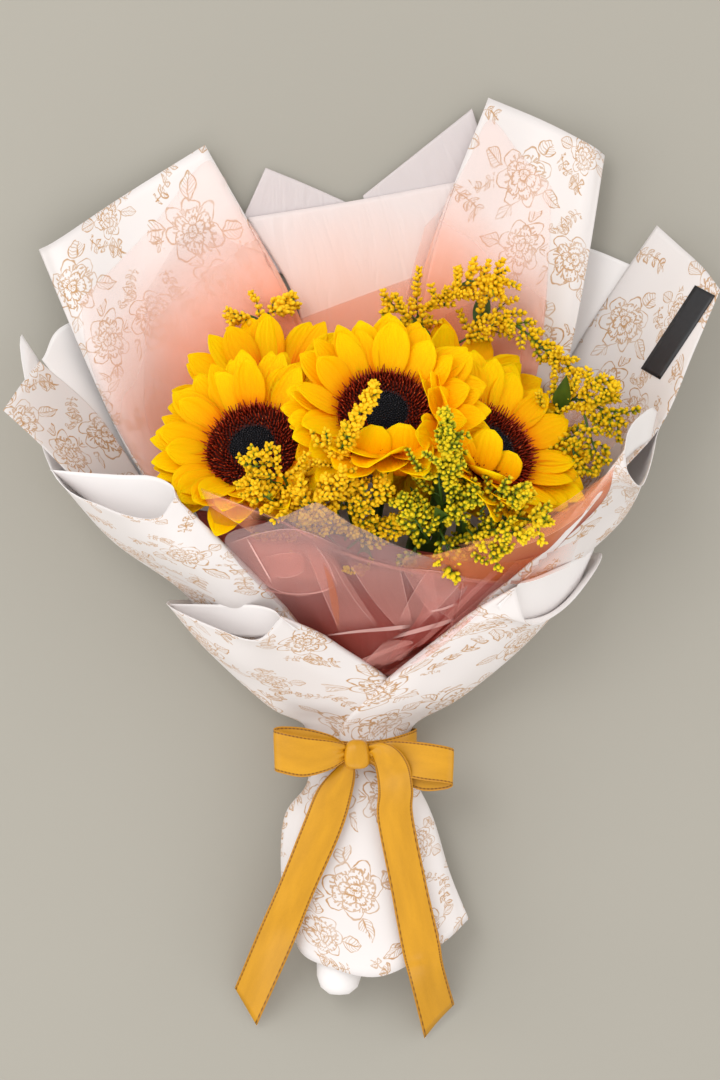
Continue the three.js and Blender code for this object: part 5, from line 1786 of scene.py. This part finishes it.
class BUNCH_OT_stems(bpy.types.Operator):
    """Builds the stem, the green back and the bracts of every sunflower."""

    bl_idname = "bunch.stems"
    bl_label = "Stems"

    def execute(self, context):
        settings = context.scene.bunch_flower
        green = green_of(settings)
        back = ((0.01, -20), (5, -19), (14, -13), (27, -6), (30, -3.4), (0.01, -3.4))
        bracts = 16
        for name, head in HEADS.items():
            matrix = head_matrix(head)
            shape = new_mesh()
            add_spun(shape, back, UP, 24)
            bmesh.ops.remove_doubles(shape, verts=shape.verts, dist=0.05)
            bmesh.ops.recalc_face_normals(shape, faces=shape.faces)
            bmesh.ops.transform(shape, matrix=matrix, verts=shape.verts)
            smooth(shape)
            add_tube(shape, stem_points(head, matrix), STEM_RADIUS, sides=12, steps=60)
            draw = random.Random(name)
            for k in range(bracts):
                bearing = Matrix.Rotation(
                    math.radians(360 * k / bracts + draw.uniform(-6, 6)), 4, "Z")
                tilt = Matrix.Rotation(math.radians(draw.uniform(-4, 12)), 4, "Y")
                foot = Matrix.Translation((20, 0, -8.5 + (k % 2)))
                add_blade(shape, matrix @ bearing @ foot @ tilt, LEAF_OUTLINE,
                          draw.uniform(23, 30), BRACT_WIDTH, bend=16, cup=0.2)
            piece = finish_piece(shape, name + "_stem_and_bracts", [green], name + "_stem", "stem")
            thicken(piece, settings.bract_thickness, 0)
        return {"FINISHED"}


# ---------------------------------------------------------------- goldenrod

def add_florets(shape, points, draw, radius, spacing):
    """Packs round florets in threes round a twig, smaller towards its tip."""
    count = max(4, int(path_length(points) / spacing))
    batch = new_mesh()
    uv = batch.loops.layers.uv.active
    for k in range(count):
        share = 0.12 + 0.88 * k / (count - 1)
        foot, way = path_point(points, share), path_tangent(points, share)
        side = way.cross(UP).normalized()
        for turn in (0, 2.1, 4.2):
            angle = turn + k * 1.9 + draw.uniform(-0.5, 0.5)
            out = (side * math.cos(angle) + side.cross(way) * math.sin(angle)).normalized()
            out = (out + way * draw.uniform(0.5, 1.2)).normalized()
            size = radius * (1.15 - 0.3 * share) * draw.uniform(0.8, 1.2)
            middle = foot + out * (radius * draw.uniform(1.1, 2.4) * (1.15 - 0.5 * share))
            turned = out.to_track_quat("Z", "Y").to_matrix().to_4x4()
            stretch = Matrix.Diagonal((size, size, size * 1.7, 1))
            made_verts = bmesh.ops.create_icosphere(
                batch, subdivisions=1, radius=1.0,
                matrix=Matrix.Translation(middle) @ turned @ stretch)["verts"]
            # A UV that runs up each floret, for the finish's darker foot and painted highlight at its tip.
            for vert in made_verts:
                for loop in vert.link_loops:
                    loop[uv].uv = (0.5, 0.5 + (vert.co - middle).dot(out) / (3.4 * size))
    smooth(batch)
    gather(shape, batch)


def twig_points(start, along, side, up, length, droop, lean):
    """The points of a side twig that leaves its stem and arches over."""
    out = (side * 0.8 + along * lean + up * 0.25).normalized()
    return [start, start + out * length * 0.4 + up * length * 0.1,
            start + out * length * 0.75 + up * length * (0.1 - droop * 0.3),
            start + out * length + up * length * (0.02 - droop)]


def add_plume(shape, stem, plume, twigs, reach, draw, radius, spacing):
    """Adds a stem's plume: side twigs, shorter towards the tip, all packed with florets."""
    for k in range(twigs):
        share = plume + (0.985 - plume) * (k + 0.5) / twigs
        start, along = path_point(stem, share), path_tangent(stem, share)
        side = UP.cross(along).normalized() * (1 if k % 2 else -1)
        side = (Matrix.Rotation(draw.uniform(-1.1, 1.1), 3, along) @ side).normalized()
        up = along.cross(side).normalized()
        up = up if up.z > 0 else -up
        length = reach * (1 - 0.55 * k / twigs) * draw.uniform(0.6, 1.15)
        droop, lean = draw.uniform(-0.1, 0.4), draw.uniform(0.5, 1.3)
        twig = twig_points(start, along, side, up, length, droop, lean)
        add_florets(shape, twig, draw, radius, spacing)
        add_tube(shape, twig, TWIG_RADIUS, sides=5, steps=6, finish=1, taper=0.5)
    tip = [path_point(stem, 0.9 + 0.1 * share) for share in (0, 0.35, 0.7, 1)]
    add_florets(shape, tip, draw, radius, spacing)


class BUNCH_OT_goldenrod(bpy.types.Operator):
    """Builds the sprays of goldenrod with their twigs, florets and leaves."""

    bl_idname = "bunch.goldenrod"
    bl_label = "Goldenrod"

    def execute(self, context):
        settings = context.scene.bunch_goldenrod
        green = green_of(context.scene.bunch_flower)
        radius, spacing = settings.floret_radius * 1000, settings.spacing * 1000
        for index, (name, spray) in enumerate(SPRAYS.items()):
            draw = random.Random(settings.seed + index)
            yellow = goldenrod_finish(f"goldenrod {name}", tuple(settings.floret), tuple(settings.bud),
                                      spray["green"])
            stem = vectors(spray["stem"])
            shape = new_mesh()
            add_plume(shape, stem, spray["plume"], spray["twigs"], spray["reach"], draw, radius, spacing)
            add_tube(shape, stem, SPRAY_STEM_RADIUS, sides=8, steps=60, finish=1, taper=0.45)
            side_stems = [(vectors(points), 0.15, None, 19) for points in spray["branches"]]
            side_stems += [(vectors(points), 0.1, 18, 9) for points in spray.get("sprigs", ())]
            for path, plume, twigs, reach in side_stems:
                twigs = twigs or round(path_length(path) / TWIG_SPACING)
                add_plume(shape, path, plume, twigs, reach, draw, radius, spacing)
                add_tube(shape, path, BRANCH_RADIUS, sides=6, steps=12, finish=1, taper=0.45)
            for share, turn, length in spray["leaves"]:
                along = path_tangent(stem, share)
                side = UP.cross(along).normalized()
                side = Matrix.Rotation(math.radians(turn), 3, along) @ side
                foot = path_point(stem, share)
                add_blade(shape, aimed(foot, foot + along * 0.8 + side * 0.6), LEAF_OUTLINE,
                          length, LEAF_WIDTH, bend=-16, cup=0.4, finish=1)
            finish_piece(shape, f"goldenrod_{name}_spray", [yellow, green], f"goldenrod_{name}",
                         "goldenrod")
        return {"FINISHED"}


# ---------------------------------------------------------------- ribbon

def loop_layout(side, turns):
    """The layout of a bow loop that leaves the knot, turns over and comes back beneath."""
    rows = [
        [(side * out, KNOT.y + lower + (upper - lower) * share, KNOT.z + height)
         for out, height, upper, lower in turns]
        for share in (0, 0.5, 1)
    ]
    return rows if side > 0 else [row[::-1] for row in rows]


def pinched(u, v):
    """Small pleats of a bow loop where it enters the knot."""
    near = max(0.0, 1 - 7 * min(u, 1 - u))
    return 1.1 * near * math.cos(5 * math.pi * v) + 0.35 * math.sin(9 * u + 4 * v)


def band_point(side, angle):
    """A point of the band round the neck, which gathers behind the knot."""
    front = max(0.0, math.sin(angle)) ** 2
    return Vector((
        (BAND_OVAL[0] + 0.3) * math.cos(angle),
        side * BAND_WIDTH * (1 - 0.42 * front) - 2.5 * front,
        NECK_HEIGHT + (BAND_OVAL[1] + 0.3) * math.sin(angle) + front * math.cos(side * 30),
    ))


def tail_waves(u, v):
    """Pleats of a tail where it leaves the knot, and a slight wave along it."""
    return 1.0 * max(0.0, 1 - 5 * v) * math.cos(4 * math.pi * u) + 0.25 * math.sin(14 * v + 3 * u)


class BUNCH_OT_ribbon(bpy.types.Operator):
    """Builds the satin band, the knot, the loops and the tails."""

    bl_idname = "bunch.ribbon"
    bl_label = "Ribbon"

    def execute(self, context):
        settings = context.scene.bunch_ribbon
        satin = made("ribbon satin", lambda: satin_finish(settings, BAND_WIDTH / 2))

        def finish_ribbon(shape, part, thickness=settings.thickness):
            name = part + "_satin"
            return finish_piece(shape, name, [satin], f"ribbon_{part}", "satin", thickness)

        def ribbon_uv(share_across, way_along):
            return ((share_across - 0.5) * BAND_WIDTH * MM, way_along * MM)

        shape = new_mesh()
        across, around = 10, 72
        add_patch(
            shape, across, around,
            lambda i, j: band_point(i / across - 0.5, 2 * math.pi * j / around),
            lambda i, j: ribbon_uv(i / across, BAND_LENGTH * j / around))
        bmesh.ops.remove_doubles(shape, verts=shape.verts, dist=TOUCHING)
        band = finish_ribbon(shape, "band")

        shape = new_mesh()
        bmesh.ops.create_uvsphere(shape, u_segments=48, v_segments=28, radius=1.0)
        wide, long, high = KNOT_SIZE
        for vert in shape.verts:
            x, y, z = (math.copysign(abs(c) ** 0.7, c) for c in vert.co)
            crease = 1 + 0.035 * math.cos(x * 8 + y * 1.2)
            vert.co = Vector((wide * x * (1 - 0.1 * y), long * y, high * z * crease)) + KNOT
        smooth(shape)
        uv = shape.loops.layers.uv.active
        for face in shape.faces:
            for loop in face.loops:
                place = loop.vert.co - KNOT
                loop[uv].uv = (place.x * 0.9 * MM, math.atan2(place.z, place.y) * 8 * MM)
        finish_ribbon(shape, "knot", 0.0)

        for side, turns, name in ((-1, LEFT_LOOP, "left"), (1, RIGHT_LOOP, "right")):
            shape = new_mesh()
            loop = Sheet(loop_layout(side, turns), across=64, along=16, ripple=pinched)
            loop.add_to(shape, spread=lambda i, j: ribbon_uv(
                j / loop.along, loop.out[loop.along // 2][i]))
            declare(finish_ribbon(shape, f"loop_{name}"), [loop], "folded")

        for layout, name in ((TAIL_LEFT, "left"), (TAIL_RIGHT, "right")):
            shape = new_mesh()
            tail = Sheet(layout, across=16, along=80, ripple=tail_waves)
            tail.add_to(shape, spread=lambda i, j: ribbon_uv(
                i / tail.across, tail.up[-1] * j / tail.along))
            declare(finish_ribbon(shape, f"tail_{name}"), [tail], "hung")
        return {"FINISHED"}


# ---------------------------------------------------------------- panel and run

OPERATORS = (
    BUNCH_OT_stage, BUNCH_OT_wraps, BUNCH_OT_panels, BUNCH_OT_lower_paper, BUNCH_OT_films,
    BUNCH_OT_petals, BUNCH_OT_discs, BUNCH_OT_stems, BUNCH_OT_goldenrod, BUNCH_OT_ribbon,
)
SETTINGS = {
    "bunch_stage": StageSettings,
    "bunch_paper": PaperSettings,
    "bunch_film": FilmSettings,
    "bunch_flower": FlowerSettings,
    "bunch_goldenrod": GoldenrodSettings,
    "bunch_ribbon": RibbonSettings,
}


class BUNCH_PT_panel(bpy.types.Panel):
    """Lists the pieces of the bunch and their settings."""

    bl_label = "Sunflower bunch"
    bl_idname = "BUNCH_PT_panel"
    bl_space_type = "VIEW_3D"
    bl_region_type = "UI"
    bl_category = "Bunch"

    def draw(self, context):
        for operator in OPERATORS:
            self.layout.operator(operator.bl_idname)
        for name, group in SETTINGS.items():
            box = self.layout.box()
            for setting in group.__annotations__:
                box.prop(getattr(context.scene, name), setting)


def register():
    """Registers the settings, the operators and the panel."""
    for cls in (*SETTINGS.values(), *OPERATORS, BUNCH_PT_panel):
        bpy.utils.register_class(cls)
    for name, group in SETTINGS.items():
        setattr(bpy.types.Scene, name, PointerProperty(type=group))


def unregister():
    """Takes back what register did."""
    for name in SETTINGS:
        delattr(bpy.types.Scene, name)
    for cls in (BUNCH_PT_panel, *OPERATORS[::-1], *SETTINGS.values()):
        bpy.utils.unregister_class(cls)


def main():
    """Builds every piece in order."""
    register()
    for operator in OPERATORS:
        group, name = operator.bl_idname.split(".")
        getattr(getattr(bpy.ops, group), name)()


if __name__ == "__main__":
    main()
